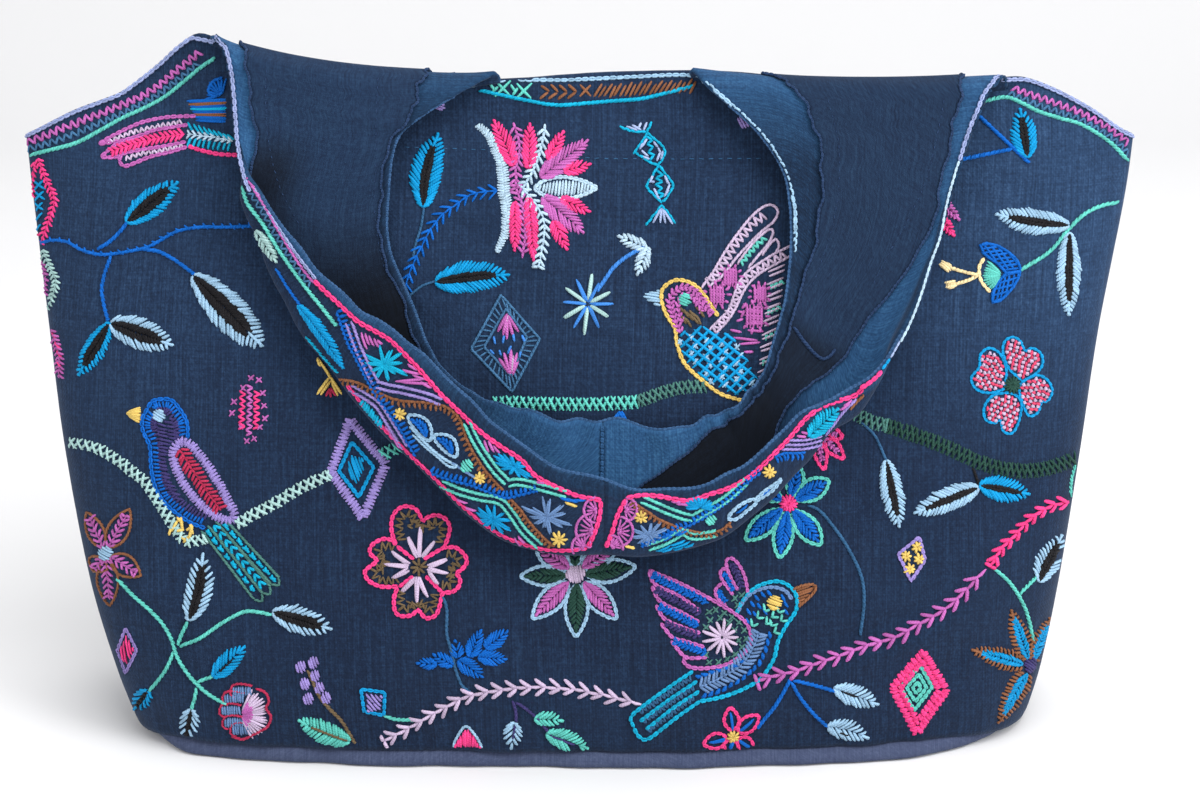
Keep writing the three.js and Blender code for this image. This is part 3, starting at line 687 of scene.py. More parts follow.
def make_lining(name, node, which, rows, cols):
    e = LINING_EDGES[which]
    us = np.linspace(e[0, 0], e[-1, 0], rows + 1)
    lo, hi = smooth(e[:, 0], e[:, 1], us), smooth(e[:, 0], e[:, 2], us)
    lo = lo + 0.008 * np.sin(us * 7.1) + 0.005 * np.sin(us * 17.0)
    hi = np.minimum(hi + 0.008 * np.sin(us * 6.1 + 1) + 0.005 * np.sin(us * 15.0), 1.0)
    t = lo[:, None] + (hi - lo)[:, None] * np.linspace(0, 1, cols + 1)[None, :]
    u = np.repeat(us[:, None], cols + 1, axis=1)
    h = 0.004
    g = handle_surface(-1, u, t)
    du = (handle_surface(-1, np.minimum(u + h, 21.99), t) - handle_surface(-1, np.maximum(u - h, 0.0), t))
    dt = (handle_surface(-1, u, t + h) - handle_surface(-1, u, t - h))
    n = np.cross(du, dt)
    n /= np.linalg.norm(n, axis=-1, keepdims=True)
    puff = 0.25 * np.sin(u * 8.0 + 6 * t) + 0.2 * np.sin(u * 3.0 - 9 * t)
    near, far = g - n * 1.12, g - n * (2.15 + 0.5 * puff)[..., None]
    v, f, tag, uv = sheet_mesh(near, far, arc_uv(g), hem=(0.4, 0.4, 0.4, 0.4), flip=True)
    o = make_object(name, v, f, [LINING], None, uv)
    # painted light and shade: the left piece is lit near its upper end and shaded farther down and along its outer
    # half; the right piece is darkest in the hollow and lit from section 15.3 towards its upper end
    w = step(u, 7.0, 4.9) * (1 - 0.85 * step(t, 0.45, 0.75) * step(u, 3.4, 4.4)) if which == "left" else 0.2 * step(u, 13.4, 14.8) + 0.62 * step(u, 15.3, 15.9)
    paint_light_shade(o, np.concatenate([w.ravel(), w.ravel(), np.full(len(v) - 2 * w.size, 0.6)]))
    keep(o, node)
    return u, t, far, -n


linings = {k: make_lining("front_strap_lining_" + k, "front_lining_" + k, k, 120, 30) for k in ("left", "right")}

# ------------------------------------------------------------------ embroidery
# Stitches are real strands. Their places are points of the photograph's picture plane, carried along the camera's
# rays on to the cloth, so that each motif lies on the cloth's folds where the photograph has it.
THREAD = {
    "pink": "#ee4188", "orchid": "#b862ac", "lilac": "#9483c4", "lavender": "#929fca", "pale_pink": "#c4b0cc", "light_blue": "#97bcd8",
    "teal_blue": "#0290ca", "royal": "#015fba", "cornflower": "#3c80d2", "turquoise": "#06a4ca", "mint": "#5cc0b4",
    "pale_mint": "#a4c8c6", "dark_green": "#22453c", "slate_green": "#47766f", "brown": "#85563a", "olive": "#68573f",
    "yellow": "#dcbd66", "cream": "#ecd6a4", "rose": "#d8486c", "crimson": "#b02c50", "slate": "#6383b0", "deep_slate": "#2f5a80", "black": "#17161a",
    "purple": "#3a3468", "white_blue": "#b2cde0", "navy": "#22385a", "selvage": "#33557d", "seam_blue": "#27507a", "pale_slate": "#9fb0d6", "slate_line": "#3f6b92"}
THICK = 1.32
BUCKETS = {}
SIDES = 5


class Stitched:
    """A cloth seen from where the photograph was taken."""

    def __init__(self, *grids):
        verts, faces, k = [], [], 0
        for g in grids:
            r, c = g.shape[:2]
            i = np.arange(r * c).reshape(r, c) + k
            verts.append(g.reshape(-1, 3))
            faces.append(np.stack([i[:-1, :-1], i[:-1, 1:], i[1:, 1:], i[1:, :-1]], -1).reshape(-1, 4))
            k += r * c
        self.tree = BVHTree.FromPolygons(np.concatenate(verts).tolist(), np.concatenate(faces).tolist())

    def at(self, px):
        px = np.asarray(px, float)
        flat = px.reshape(-1, 2)
        d = FWD * F_PX + RIGHT * (flat[:, :1] - 600) + UP * (400 - flat[:, 1:])
        d /= np.linalg.norm(d, axis=1, keepdims=True)
        loc, nrm = np.full((len(d), 3), np.nan), np.full((len(d), 3), np.nan)
        eye, cast = Vector(EYE), self.tree.ray_cast
        for i, v in enumerate(d.tolist()):
            v = Vector(v)
            p, n, _, _ = cast(eye, v)
            if p is not None:
                loc[i] = p
                nrm[i] = n if n.dot(v) < 0 else -n
        return loc.reshape(*px.shape[:-1], 3), nrm.reshape(*px.shape[:-1], 3)


def put(colour, loc, nrm, r=0.46, lift=None, up=0.0):
    """Strands through given points: loc and nrm are (strands, points, 3), lift is in thread radii."""
    k = loc.shape[1]
    if len(loc) == 0:
        return
    r = r * THICK
    if lift is None:
        lift = [-0.45] + [0.75] * (k - 2) + [-0.45]
    loc = loc + nrm * (r * np.asarray(lift)[None, :, None] + up)
    loc = loc + nrm * RNG.uniform(-0.06, 0.06, (len(loc), 1, 1))
    BUCKETS.setdefault((colour, k), []).append((loc, nrm, r * RNG.uniform(0.92, 1.08, len(loc))))


def sew(cloth, colour, pts, r=0.46, lift=None, up=0.0):
    """Strands through points of the picture: pts is (strands, points, 2)."""
    pts = np.asarray(pts, float)
    if pts.size == 0:
        return
    loc, nrm = cloth.at(pts)
    ok = np.isfinite(loc).all((1, 2))
    px = np.linalg.norm(np.diff(pts, axis=1), axis=2)
    with np.errstate(invalid="ignore"):
        mm = np.linalg.norm(np.diff(loc, axis=1), axis=2)
        ok &= (mm < px * 2.2 + 2.0).all(1)
    put(colour, loc[ok], nrm[ok], r, lift, up)


def straight(cloth, colour, a, b, r=0.46, k=4, up=0.0, jitter=0.35):
    """Straight stitches from a to b, each (strands, 2)."""
    a, b = np.atleast_2d(np.asarray(a, float)), np.atleast_2d(np.asarray(b, float))
    a, b = a + RNG.normal(0, jitter, a.shape), b + RNG.normal(0, jitter, b.shape)
    f = {3: [0, 0.5, 1], 4: [0, 0.22, 0.78, 1], 5: [0, 0.15, 0.5, 0.85, 1]}[k]
    sew(cloth, colour, np.stack([a + (b - a) * t for t in f], 1), r, None, up)


class Line:
    """A smooth line through points of the picture, or a sharp one."""

    def __init__(self, ctrl, closed=False, sharp=False):
        c = np.asarray(ctrl, float)
        if closed:
            c = np.concatenate([c, c[:1]])
        if sharp or len(c) == 2:
            dense = [c[i] + (c[i + 1] - c[i]) * t for i in range(len(c) - 1) for t in np.linspace(0, 1, 24, endpoint=False)] + [c[-1]]
        else:
            e = np.concatenate([c[-2:-1], c, c[1:2]]) if closed else np.concatenate([2 * c[:1] - c[1:2], c, 2 * c[-1:] - c[-2:-1]])
            dense = []
            for i in range(1, len(e) - 2):
                for t in np.linspace(0, 1, 24, endpoint=False):
                    dense.append(0.5 * (2 * e[i] + (e[i + 1] - e[i - 1]) * t + (2 * e[i - 1] - 5 * e[i] + 4 * e[i + 1] - e[i + 2]) * t * t
                                        + (3 * e[i] - e[i - 1] - 3 * e[i + 1] + e[i + 2]) * t**3))
            dense.append(e[-2])
        self.p = np.array(dense)
        self.s = np.concatenate([[0], np.cumsum(np.linalg.norm(np.diff(self.p, axis=0), axis=1))])
        self.length = float(self.s[-1])

    def at(self, s, side=0.0):
        s = np.clip(np.asarray(s, float), 0, self.length)
        p = np.stack([np.interp(s, self.s, self.p[:, k]) for k in (0, 1)], -1)
        a, b = np.clip(s - 1.5, 0, self.length), np.clip(s + 1.5, 0, self.length)
        t = np.stack([np.interp(b, self.s, self.p[:, k]) - np.interp(a, self.s, self.p[:, k]) for k in (0, 1)], -1)
        t /= np.maximum(np.linalg.norm(t, axis=-1, keepdims=True), 1e-9)
        return p + np.stack([t[..., 1], -t[..., 0]], -1) * np.asarray(side, float)[..., None]


def chain(cl, ctrl, col, link=7.0, w=5.0, r=0.42, closed=False, sharp=False, up=0.0):
    L = Line(ctrl, closed, sharp)
    n = max(1, round(L.length / link))
    h = L.length / n
    s = np.arange(n) * h
    w = w * RNG.uniform(0.88, 1.12, n)
    arms = [np.stack([L.at(s - 0.05 * h), L.at(s + 0.28 * h, g * w * 0.19), L.at(s + 0.72 * h, g * w * 0.22), L.at(s + 1.15 * h, g * w * 0.05)], 1)
            for g in (1, -1)]
    sew(cl, col, np.concatenate(arms), r * 0.88, [-0.3, 0.6, 0.85, 0.2], up)


def rope(points, col, link=3.0, w=2.3, r=0.44, facing=None):
    """Chain stitch over a cloth edge: points along the edge, facing is where it is seen from."""
    facing = -np.asarray(FWD, float) if facing is None else np.asarray(facing, float)
    p = np.asarray(points, float)
    run = np.concatenate([[0], np.cumsum(np.linalg.norm(np.diff(p, axis=0), axis=1))])
    n = max(1, round(run[-1] / link))
    h = run[-1] / n
    s = np.arange(n) * h

    def at(q, off):
        q = np.clip(q, 0, run[-1])
        c = np.stack([np.interp(q, run, p[:, k]) for k in range(3)], -1)
        a, b = np.clip(q - 1.2, 0, run[-1]), np.clip(q + 1.2, 0, run[-1])
        t = np.stack([np.interp(b, run, p[:, k]) - np.interp(a, run, p[:, k]) for k in range(3)], -1)
        across = np.cross(t, facing)
        across /= np.maximum(np.linalg.norm(across, axis=-1, keepdims=True), 1e-9)
        return c + across * off

    arms = [np.stack([at(s - 0.05 * h, 0), at(s + 0.28 * h, g * w * 0.19), at(s + 0.72 * h, g * w * 0.22), at(s + 1.15 * h, g * w * 0.05)], 1) for g in (1, -1)]
    loc = np.concatenate(arms)
    put(col, loc, np.broadcast_to(facing / np.linalg.norm(facing), loc.shape), r * 0.88, [0.1, 0.6, 0.85, 0.4])


def stem(cl, ctrl, col, stitch=10.0, pitch=5.0, w=1.9, r=0.5, closed=False, sharp=False, up=0.0):
    L = Line(ctrl, closed, sharp)
    s = np.arange(-0.3 * pitch, L.length - 0.35 * stitch, pitch)
    s = s + RNG.normal(0, 0.25, len(s))
    o = np.ones(len(s)) * w / 2
    sew(cl, col, np.stack([L.at(s, -o), L.at(s + 0.3 * stitch, -o * 0.4), L.at(s + 0.7 * stitch, o * 0.4), L.at(s + stitch, o)], 1), r, None, up)


def coral(cl, ctrl, col, pitch=9.0, r=0.52):
    """A laid line with a small knot to one side at each stitch."""
    stem(cl, ctrl, col, 11, 5.5, 1.6, r)
    L = Line(ctrl)
    s = np.arange(2.0, L.length, pitch)
    one = np.ones(len(s))
    straight(cl, col, L.at(s - 2.0, one * 3.2), L.at(s + 2.5, -one * 1.8), r * 0.9, 3, 0.25)


def running(cl, ctrl, col, stitch=5.0, gap=4.0, r=0.28, up=0.0):
    L = Line(ctrl)
    s = np.arange(0, L.length - stitch, stitch + gap)
    straight(cl, col, L.at(s), L.at(s + stitch), r, 3, up, 0.2)


def zigzag(cl, ctrl, w, pitch, col, r=0.42, up=0.0):
    L = Line(ctrl)
    s = np.arange(0, L.length - pitch, pitch)
    one = np.ones(len(s)) * w / 2
    straight(cl, col, L.at(s, -one), L.at(s + pitch / 2, one), r, 4, up)
    straight(cl, col, L.at(s + pitch / 2, one), L.at(s + pitch, -one), r, 4, up)


def herring(cl, ctrl, w, pitch, col, r=0.45, up=0.0):
    L = Line(ctrl)
    s = np.arange(-0.4 * pitch, L.length - 0.5 * pitch, pitch)
    one = np.ones(len(s)) * w / 2
    straight(cl, col, L.at(s, -one), L.at(s + 1.15 * pitch, one), r, 4, up)
    straight(cl, col, L.at(s + 0.45 * pitch, one), L.at(s + 1.55 * pitch, -one), r, 4, up + 0.3)


def fern(cl, ctrl, w, pitch, col, lead=0.9, r=0.46, mid=True, up=0.0):
    """Pairs of slanting stitches that meet on the middle line; lead above 0 opens them forwards."""
    L = Line(ctrl)
    s = np.arange(0.0, L.length, pitch)
    one = np.ones(len(s)) * w / 2
    for g in (1, -1):
        straight(cl, col, L.at(s), L.at(s + lead * pitch, g * one * RNG.uniform(0.85, 1.1, len(s))), r, 4, up)
    if mid:
        straight(cl, col, L.at(s - 0.2 * pitch), L.at(s + 0.9 * pitch), r, 3, up)


def blanket(cl, ctrl, depth, pitch, col, r=0.44, closed=False, sharp=False, up=0.0):
    """A line with legs to its left (or to its right with a depth under 0)."""
    L = Line(ctrl, closed, sharp)
    s = np.arange(0, L.length - 0.4 * pitch, pitch)
    straight(cl, col, L.at(s), L.at(s + pitch * 1.1), r, 3, up, 0.2)
    straight(cl, col, L.at(s, np.zeros(len(s))), L.at(s + 0.15 * pitch, np.ones(len(s)) * depth), r * 0.95, 3, up)


def rays(cl, centre, r0, r1, n, col, a0=0.0, a1=360.0, r=0.46, squash=1.0, up=0.0, vary=0.08):
    whole = abs(a1 - a0) >= 359
    a = np.radians(np.linspace(a0, a1, n, endpoint=not whole))
    d = np.stack([np.cos(a), np.sin(a) * squash], 1)
    c = np.asarray(centre, float)
    k = RNG.uniform(1 - vary, 1 + vary, (n, 1))
    straight(cl, col, c + d * r0, c + d * r1 * k, r, 4, up)


def inside(poly, angle, gap):
    """Parallel cuts across a polygon, as pairs of ends."""
    p = np.asarray(poly, float)
    c, s = math.cos(math.radians(angle)), math.sin(math.radians(angle))
    q = np.stack([p[:, 0] * c + p[:, 1] * s, -p[:, 0] * s + p[:, 1] * c], 1)
    cuts = []
    for v in np.arange(q[:, 1].min() + gap * 0.4, q[:, 1].max(), gap):
        xs = []
        for i in range(len(q)):
            a, b = q[i], q[(i + 1) % len(q)]
            if (a[1] <= v) != (b[1] <= v):
                xs.append(a[0] + (v - a[1]) / (b[1] - a[1]) * (b[0] - a[0]))
        xs.sort()
        cuts += [(xs[i], xs[i + 1], v) for i in range(0, len(xs) - 1, 2)]

    def back(x, v):
        return np.array([x * c - v * s, x * s + v * c])

    return [(back(a, v), back(b, v)) for a, b, v in cuts]


def fill(cl, poly, col, angle=0.0, gap=2.3, longest=17.0, r=0.46, up=0.0):
    a, b = [], []
    for p, q in inside(poly, angle, gap * 1.2):
        n = np.linalg.norm(q - p)
        if n < 1.2:
            continue
        cuts = [0.0]
        while n - cuts[-1] > longest * 1.35:
            cuts.append(cuts[-1] + longest * RNG.uniform(0.6, 1.1))
        cuts.append(n)
        for u, v in zip(cuts[:-1], cuts[1:]):
            a.append(p + (q - p) * u / n)
            b.append(p + (q - p) * min(1, (v + 0.8) / n))
    if a:
        straight(cl, col, a, b, r, 4, up)


def crosses(cl, pts, size, col, r=0.4, up=0.0):
    p = np.atleast_2d(np.asarray(pts, float))
    h = size / 2
    straight(cl, col, p + [-h, -h], p + [h, h], r, 3, up)
    straight(cl, col, p + [-h, h], p + [h, -h], r, 3, up + 0.25)


def knots(cl, pts, col, size=4.0, r=0.6):
    p = np.atleast_2d(np.asarray(pts, float))
    for a in (0.3, 1.4, 2.5):
        d = np.array([math.cos(a), math.sin(a)]) * size / 2
        straight(cl, col, p - d, p + d, r, 3, 0.2)


def disc(cl, centre, rx, ry, col, angle=20.0, r=0.46, up=0.15, gap=2.1):
    a = np.linspace(0, 2 * math.pi, 28, endpoint=False)
    fill(cl, np.asarray(centre) + np.stack([np.cos(a) * rx, np.sin(a) * ry], 1), col, angle, gap, 40, r, up)


def leaf(cl, base, tip, w, edge, core=None, bend=0.0, gap=2.5, share=0.46, lean=0.85, fat=0.9, r=0.54, flow=1.0, blunt=0.58):
    """A leaf of slanting stitches: a coloured edge, with a dark heart where core is given."""
    base, tip = np.asarray(base, float), np.asarray(tip, float)
    axis = tip - base
    n = np.linalg.norm(axis)
    d = axis / n
    side = np.array([d[1], -d[0]])

    def at(t, off):
        t = np.asarray(t, float)
        return base + d * (t * n)[:, None] + side * (np.asarray(off) + bend * np.sin(math.pi * np.clip(t, 0, 1)))[:, None]

    def half(t):
        t = np.clip(t, 0.0, 1.0)
        return w / 2 * np.sin(math.pi * t**fat) ** blunt

    inner = share if core is not None else 0.0

    def heart(t):
        return inner * np.clip((0.88 - t) / 0.2, 0.0, 1.0)

    count = max(5, int(n / (gap * (1.28 if core is None else 1.4))))
    for g in (1, -1):
        if core is not None:
            t = np.linspace(0.05, 0.78, max(4, int(0.9 * n / 3.4)))
            straight(cl, core, at(t - 0.05, 0 * t), at(t + 0.07 * flow, g * half(t) * (heart(t) + 0.06)), r, 4)
        te = np.linspace(0.05, 1.0, count)
        h = half(te)
        ts = np.maximum(te - lean * flow * (h * (1 - inner) + 2.0) / n, 0.0)
        k = RNG.uniform(0.93, 1.07, count)
        ragged = RNG.uniform(0.8, 1.15, count)
        straight(cl, edge, at(ts, g * half(ts) * heart(ts) * ragged), at(te, g * h * k), r, 4, 0.12)
    straight(cl, edge, at(np.array([0.80]), np.zeros(1)), at(np.array([1.01]), np.zeros(1)), r, 4, 0.12)


def outline_leaf(cl, base, tip, wide, col, how=stem, bend=0.0, fat=0.85, blunt=0.82, **kw):
    """Just the outline of a leaf or petal, both sides from base to tip."""
    base, tip = np.asarray(base, float), np.asarray(tip, float)
    axis = tip - base
    n = np.linalg.norm(axis)
    d = axis / n
    side = np.array([d[1], -d[0]])
    t = np.linspace(0, 1, 9)
    h = wide / 2 * np.sin(math.pi * t**fat) ** blunt
    for g in (1, -1):
        how(cl, base + d * (t * n)[:, None] + side * (g * h + bend * np.sin(math.pi * t))[:, None], col, **kw)


def thread_material(name, colour):
    m = Nodes("thread_" + name)
    c = [v * 0.88 for v in srgb(colour)]
    geo = m.new("ShaderNodeNewGeometry")
    uv = m.new("ShaderNodeUVMap", uv_map="UVMap").outputs[0]
    soft = m.stretched_noise(uv, 0.9, 2.0, 2.0, 0.5, 2.0)
    mixed = m.math("ADD", m.math("MULTIPLY", geo.outputs["Random Per Island"], 0.6), m.math("MULTIPLY", soft, 0.4))
    dark, light = [v * 0.78 for v in c], [min(1.0, v * 1.16 + 0.004) for v in c]
    m.link(m.ramp(mixed, [(0.15, dark), (0.5, c), (0.85, light)]), m.b.inputs["Base Color"])
    m.b.inputs["Roughness"].default_value = 0.62
    m.b.inputs["Specular IOR Level"].default_value = 0.12
    m.b.inputs["Sheen Weight"].default_value = 0.04
    m.b.inputs["Sheen Roughness"].default_value = 0.4
    sep = m.new("ShaderNodeSeparateXYZ")
    m.link(uv, sep.inputs[0])
    turn = m.math("ADD", m.math("MULTIPLY", sep.outputs[0], 5.5), m.math("MULTIPLY", sep.outputs[1], 12.566))
    bp = m.new("ShaderNodeBump")
    bp.inputs["Strength"].default_value = 0.35
    bp.inputs["Distance"].default_value = 0.0003
    m.link(m.math("SINE", turn), bp.inputs["Height"])
    m.link(bp.outputs[0], m.b.inputs["Normal"])
    return m.mat


def build_threads():
    made = {}
    for (colour, k), lots in sorted(BUCKETS.items()):
        P, N, R = (np.concatenate([lot[i] for lot in lots]) for i in range(3))
        T = np.gradient(P, axis=1)
        T /= np.maximum(np.linalg.norm(T, axis=-1, keepdims=True), 1e-9)
        B = np.cross(N, T)
        B /= np.maximum(np.linalg.norm(B, axis=-1, keepdims=True), 1e-9)
        N = np.cross(T, B)
        taper = np.ones(k)
        taper[0] = taper[-1] = 0.6
        ang = 2 * math.pi * (np.arange(SIDES) + 0.5) / SIDES
        rad = (R[:, None] * taper)[:, :, None, None]
        ring = P[:, :, None, :] + B[:, :, None, :] * (np.cos(ang)[:, None] * rad) + N[:, :, None, :] * (np.sin(ang)[:, None] * rad * 0.82)
        s = len(P)
        run = np.concatenate([np.zeros((s, 1)), np.cumsum(np.linalg.norm(np.diff(P, axis=1), axis=2), axis=1)], axis=1)
        uv = np.stack([np.repeat(run[:, :, None], SIDES, 2), np.broadcast_to(np.arange(SIDES) / SIDES, (s, k, SIDES))], -1)
        idx = np.arange(s * k * SIDES).reshape(s, k, SIDES)
        nxt = np.roll(idx, -1, axis=2)
        f = np.stack([idx[:, :-1], nxt[:, :-1], nxt[:, 1:], idx[:, 1:]], -1).reshape(-1, 4)
        v0, f0, u0 = made.setdefault(colour, ([], [], []))
        f0.append(f + sum(len(a) for a in v0))
        v0.append(ring.reshape(-1, 3))
        u0.append(uv.reshape(-1, 2))
    total = 0
    for colour, (v, f, u) in made.items():
        o = make_object("thread_" + colour, np.concatenate(v), np.concatenate(f), [thread_material(colour, THREAD[colour])], None, np.concatenate(u))
        total += 2 * len(o.data.polygons)
        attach(o, "root")
        pieces.append(o)
    print("thread triangles", total, {c: 2 * sum(len(a) for a in f) for c, (v, f, u) in made.items()})


body = Stitched(front_grid)
strap = Stitched(straps["fl"][2], straps["fr"][2], straps["fl"][3], straps["fr"][3])
lined = Stitched(linings["left"][2], linings["right"][2])


# ---- trims along the rim and the handle's outer edges
rim_ = front_grid[-1] + (0, -0.5, -0.2)
over_ = np.linspace(0.5, 5.0, 60)
left_ = np.concatenate([rim_[rim_[:, 0] < -164], handle_surface(-1, over_, np.full(60, 0.985)) + (-0.5, -1.3, 0.5)])
rope(left_, "lavender")
over_ = np.linspace(21.5, 18.4, 50)
rope(np.concatenate([rim_[rim_[:, 0] > 190][::-1], handle_surface(-1, over_, np.full(50, 0.985)) + (0.4, -1.3, 0.5)]), "lavender")
over_ = np.linspace(18.4, 15.8, 60)
down_ = step(over_, 16.7, 16.1)[:, None]
rope(handle_surface(-1, over_, 0.985 + 0.06 * step(over_, 17.6, 16.6) + 0.035 * step(over_, 16.2, 15.8)) + (0.4, -1.3, 0.5) + down_ * (0.9, -1.4, 0.0), "white_blue", 2.8, 1.2, 0.3)
over_ = np.linspace(15.82, 15.55, 18)
rope(handle_surface(-1, over_, np.full(18, 1.08)) + (0.9, -2.2, 0.3), "pale_slate", 2.8, 0.8, 0.26)
over_ = np.linspace(15.54, 15.38, 12)
rope(handle_surface(-1, over_, np.full(12, 1.075)) + (0.8, -2.0, 0.2), "teal_blue", 2.6, 1.2, 0.34)
over_ = np.linspace(15.37, 15.02, 20)
rope(handle_surface(-1, over_, np.full(20, 1.07)) + (0.8, -2.0, -0.2), "pink", 3.0, 2.0, 0.46)
edge_ = np.linspace(5.1, 16.0, 260)
rope(handle_surface(-1, edge_, np.full(260, 1.082)), "selvage", 2.1, 1.4, 0.5)
edge_ = np.linspace(2.2, 19.6, 320)
rim_in_ = handle_surface(-1, edge_, np.zeros(320))
out_ = rim_in_ - handle_surface(-1, edge_, np.full(320, 0.04))
rope(rim_in_ + out_ / np.linalg.norm(out_, axis=1, keepdims=True) * 0.8, "selvage", 2.1, 1.1, 0.4)
for k_ in ("left", "right"):
    seam_ = linings[k_][2]
    rope(seam_[:, 0], "navy", 2.2, 1.0, 0.4)
    rope(seam_[:, -1], "navy", 2.2, 1.0, 0.4)
wall_ = np.linspace(0.015, 0.42, 40)
rope(handle_surface(-1, np.full(40, 11.0), wall_) + (0, -1.0, 0.3), "seam_blue", 2.4, 1.3, 0.5)
stem(lined, [(794, 327), (800, 336), (806, 344), (815, 354), (823, 359), (830, 356), (835, 350)], "navy", 8, 4, 2.2, 0.5)
back_ = back_grid[-1] + (0, 0.5, -0.2)
rope(back_[back_[:, 0] < -164], "lavender", facing=(0, 1, 0.3))
rope(back_[back_[:, 0] > 190], "lavender", facing=(0, 1, 0.3))
rope(back_[(back_[:, 0] > -50) & (back_[:, 0] < 70)], "lavender", facing=(0, 1, 0.3))
zigzag(body, [(27, 143), (66, 127), (107, 111), (140, 97), (158, 86), (180, 68), (198, 54), (206, 48)], 8, 7.6, "orchid", 0.5)
zigzag(body, [(28, 150), (69, 136), (107, 120), (140, 105), (160, 93), (182, 77), (200, 62)], 7.0, 7.4, "slate_line", 0.44)
stem(body, [(26, 156), (50, 150), (76, 143), (99, 131), (122, 118), (144, 108), (164, 97), (182, 83), (200, 68), (215, 58)], "mint", 9, 4.6, 2.8, 0.52)
chain(strap, [(255, 187), (267.5, 211), (284, 236), (299.5, 258), (316, 279)], "lavender", 6.4, 4.0, 0.38)
stem(strap, [(240, 164), (243, 185), (247, 202), (263, 224), (281, 253), (304, 285), (320, 305), (336, 325)], "mint", 9, 4.6, 2.8, 0.52)
stem(strap, [(247, 177), (256, 192), (268, 212), (283, 238), (300, 265), (314, 283)], "orchid", 9, 5, 2.4, 0.4)
zigzag(strap, [(250, 192), (262, 210), (278, 238), (296, 266), (314, 290)], 6.5, 8.0, "slate_line", 0.4)
zigzag(body, [(1012, 88), (1030, 95), (1044, 99), (1064, 106), (1083, 114), (1100, 123), (1114, 131), (1131, 147)], 7.5, 7.6, "orchid", 0.46)
zigzag(body, [(1008, 93), (1040, 106), (1064, 114), (1083, 121), (1110, 137), (1131, 157)], 7.0, 7.6, "slate_line", 0.42)
stem(body, [(984, 101), (1006, 97), (1022, 103), (1038, 111), (1060, 118), (1083, 125), (1111, 143), (1132, 166)], "mint", 9, 4.6, 2.8, 0.52)
chain(strap, [(696, 77), (712, 88), (737, 110), (762, 135), (782, 165), (793, 200), (795, 226), (794, 252)], "light_blue", 7.0, 5.0, 0.44)
# the middle of the rim, seen through the handle
chain(body, [(470, 86), (488, 82), (510, 80), (538, 80), (563, 80), (589, 79), (630, 77), (675, 75), (700, 76)], "light_blue", 7.0, 5.0)
crosses(body, [(482, 86), (503, 88), (524, 91)], 15, "mint", 0.56)
straight(body, "mint", [(490, 84), (492, 92), (511, 85), (513, 95)], [(495, 90), (498, 87), (516, 92), (518, 88)], 0.5)
for k_ in range(4):
    straight(body, "brown", [(541 + 9.2 * k_, 85), (548 + 9.2 * k_, 92.5)], [(549 + 9.2 * k_, 92), (540 + 9.2 * k_, 99)], 0.5)
crosses(body, [(585, 91)], 11, "brown", 0.5)
for k_ in range(10):
    y_ = 91 - 0.55 * k_
    straight(body, "brown", [(594 + 10 * k_, y_ + 6), (599 + 10 * k_, y_ + 7)], [(602 + 10 * k_, y_ - 7), (606 + 10 * k_, y_ - 5)], 0.46)
stem(body, [(479, 90), (502, 95), (525, 100), (557, 105), (589, 103), (613, 101), (640, 99), (662, 94), (693, 86)], "turquoise", 9, 4.6, 2.6, 0.5)
running(body, [(405, 147), (489, 150), (553, 154), (594, 158), (681, 159), (770, 158)], "deep_slate", 4.5, 5.0, 0.2)

# ---- left edge
fern(body, [(38, 158), (43, 172), (50, 188), (55, 200), (51, 214), (46, 229), (41, 243)], 8, 5.2, "pink", 0.9, 0.46)
fern(body, [(35, 162), (33, 178), (33, 195), (35, 215), (38, 235)], 6, 5.2, "pink", 0.9, 0.44)
for k_ in range(5):
    straight(body, "teal_blue", [(34 + 0.4 * k_, 180 + 11 * k_)], [(45 - 0.8 * k_, 190 + 10 * k_)], 0.46)
    straight(body, "teal_blue", [(44 - 0.6 * k_, 180 + 11 * k_)], [(35 + 0.6 * k_, 191 + 10 * k_)], 0.46, 4, 0.3)
fern(body, [(43, 250), (49, 265), (56, 281), (52, 298), (46, 310)], 8, 4.6, "pale_mint", 0.8)
fern(body, [(42, 262), (45, 278), (45, 296)], 7, 5, "orchid", 0.8)
fern(body, [(51, 330), (57, 345), (60, 362), (59, 378)], 9, 4.6, "orchid", 0.8)
straight(body, "pink", [(52, 332), (55, 341), (57, 350), (57, 360)], [(57, 338), (61, 349), (62, 358), (62, 368)])

# ---- bird tail under the left shoulder
for up_, lo_ in (([(99, 144), (118, 133), (140, 123), (156, 119), (170, 117), (196, 116)], [(99, 144), (125, 140), (142, 135), (156, 130), (188, 125)]),
                 ([(119, 161), (123, 154), (140, 150), (160, 147), (186, 142)], [(119, 161), (126, 166), (150, 157), (170, 152), (187, 147)])):
    chain(body, up_, "orchid", 6.5, 5, 0.44)
    chain(body, lo_, "orchid", 6.5, 5, 0.44)
chain(body, [(101, 157), (117, 144), (142, 135)], "orchid", 6.5, 5, 0.44)
chain(body, [(101, 157), (116, 157), (124, 152)], "orchid", 6.5, 5, 0.44)
zigzag(body, [(108, 142), (125, 135), (145, 129), (165, 125), (187, 121)], 5, 5.5, "pale_pink", 0.38)
zigzag(body, [(125, 159), (140, 154), (160, 151), (186, 145)], 5, 5.5, "pale_pink", 0.38)
fern(body, [(184, 134), (165, 137), (145, 141), (125, 147), (110, 153)], 12, 4.8, "pink", 1.2, 0.5)
for k_ in range(9):
    x_ = 188 + 5.0 * k_
    straight(body, "turquoise", [(x_, 122 + 1.6 * k_)], [(x_ + 6, 132 + 0.9 * k_)], 0.46)
    straight(body, "turquoise", [(x_, 147 + 0.5 * k_)], [(x_ + 3, 138 + 0.6 * k_)], 0.46)
fern(body, [(232, 141), (218, 138), (203, 136), (187, 134)], 9, 6.0, "white_blue", 0.9, 0.4)
chain(body, [(188, 146), (200, 150), (218, 154), (238, 155)], "pink", 6.5, 5, 0.46)
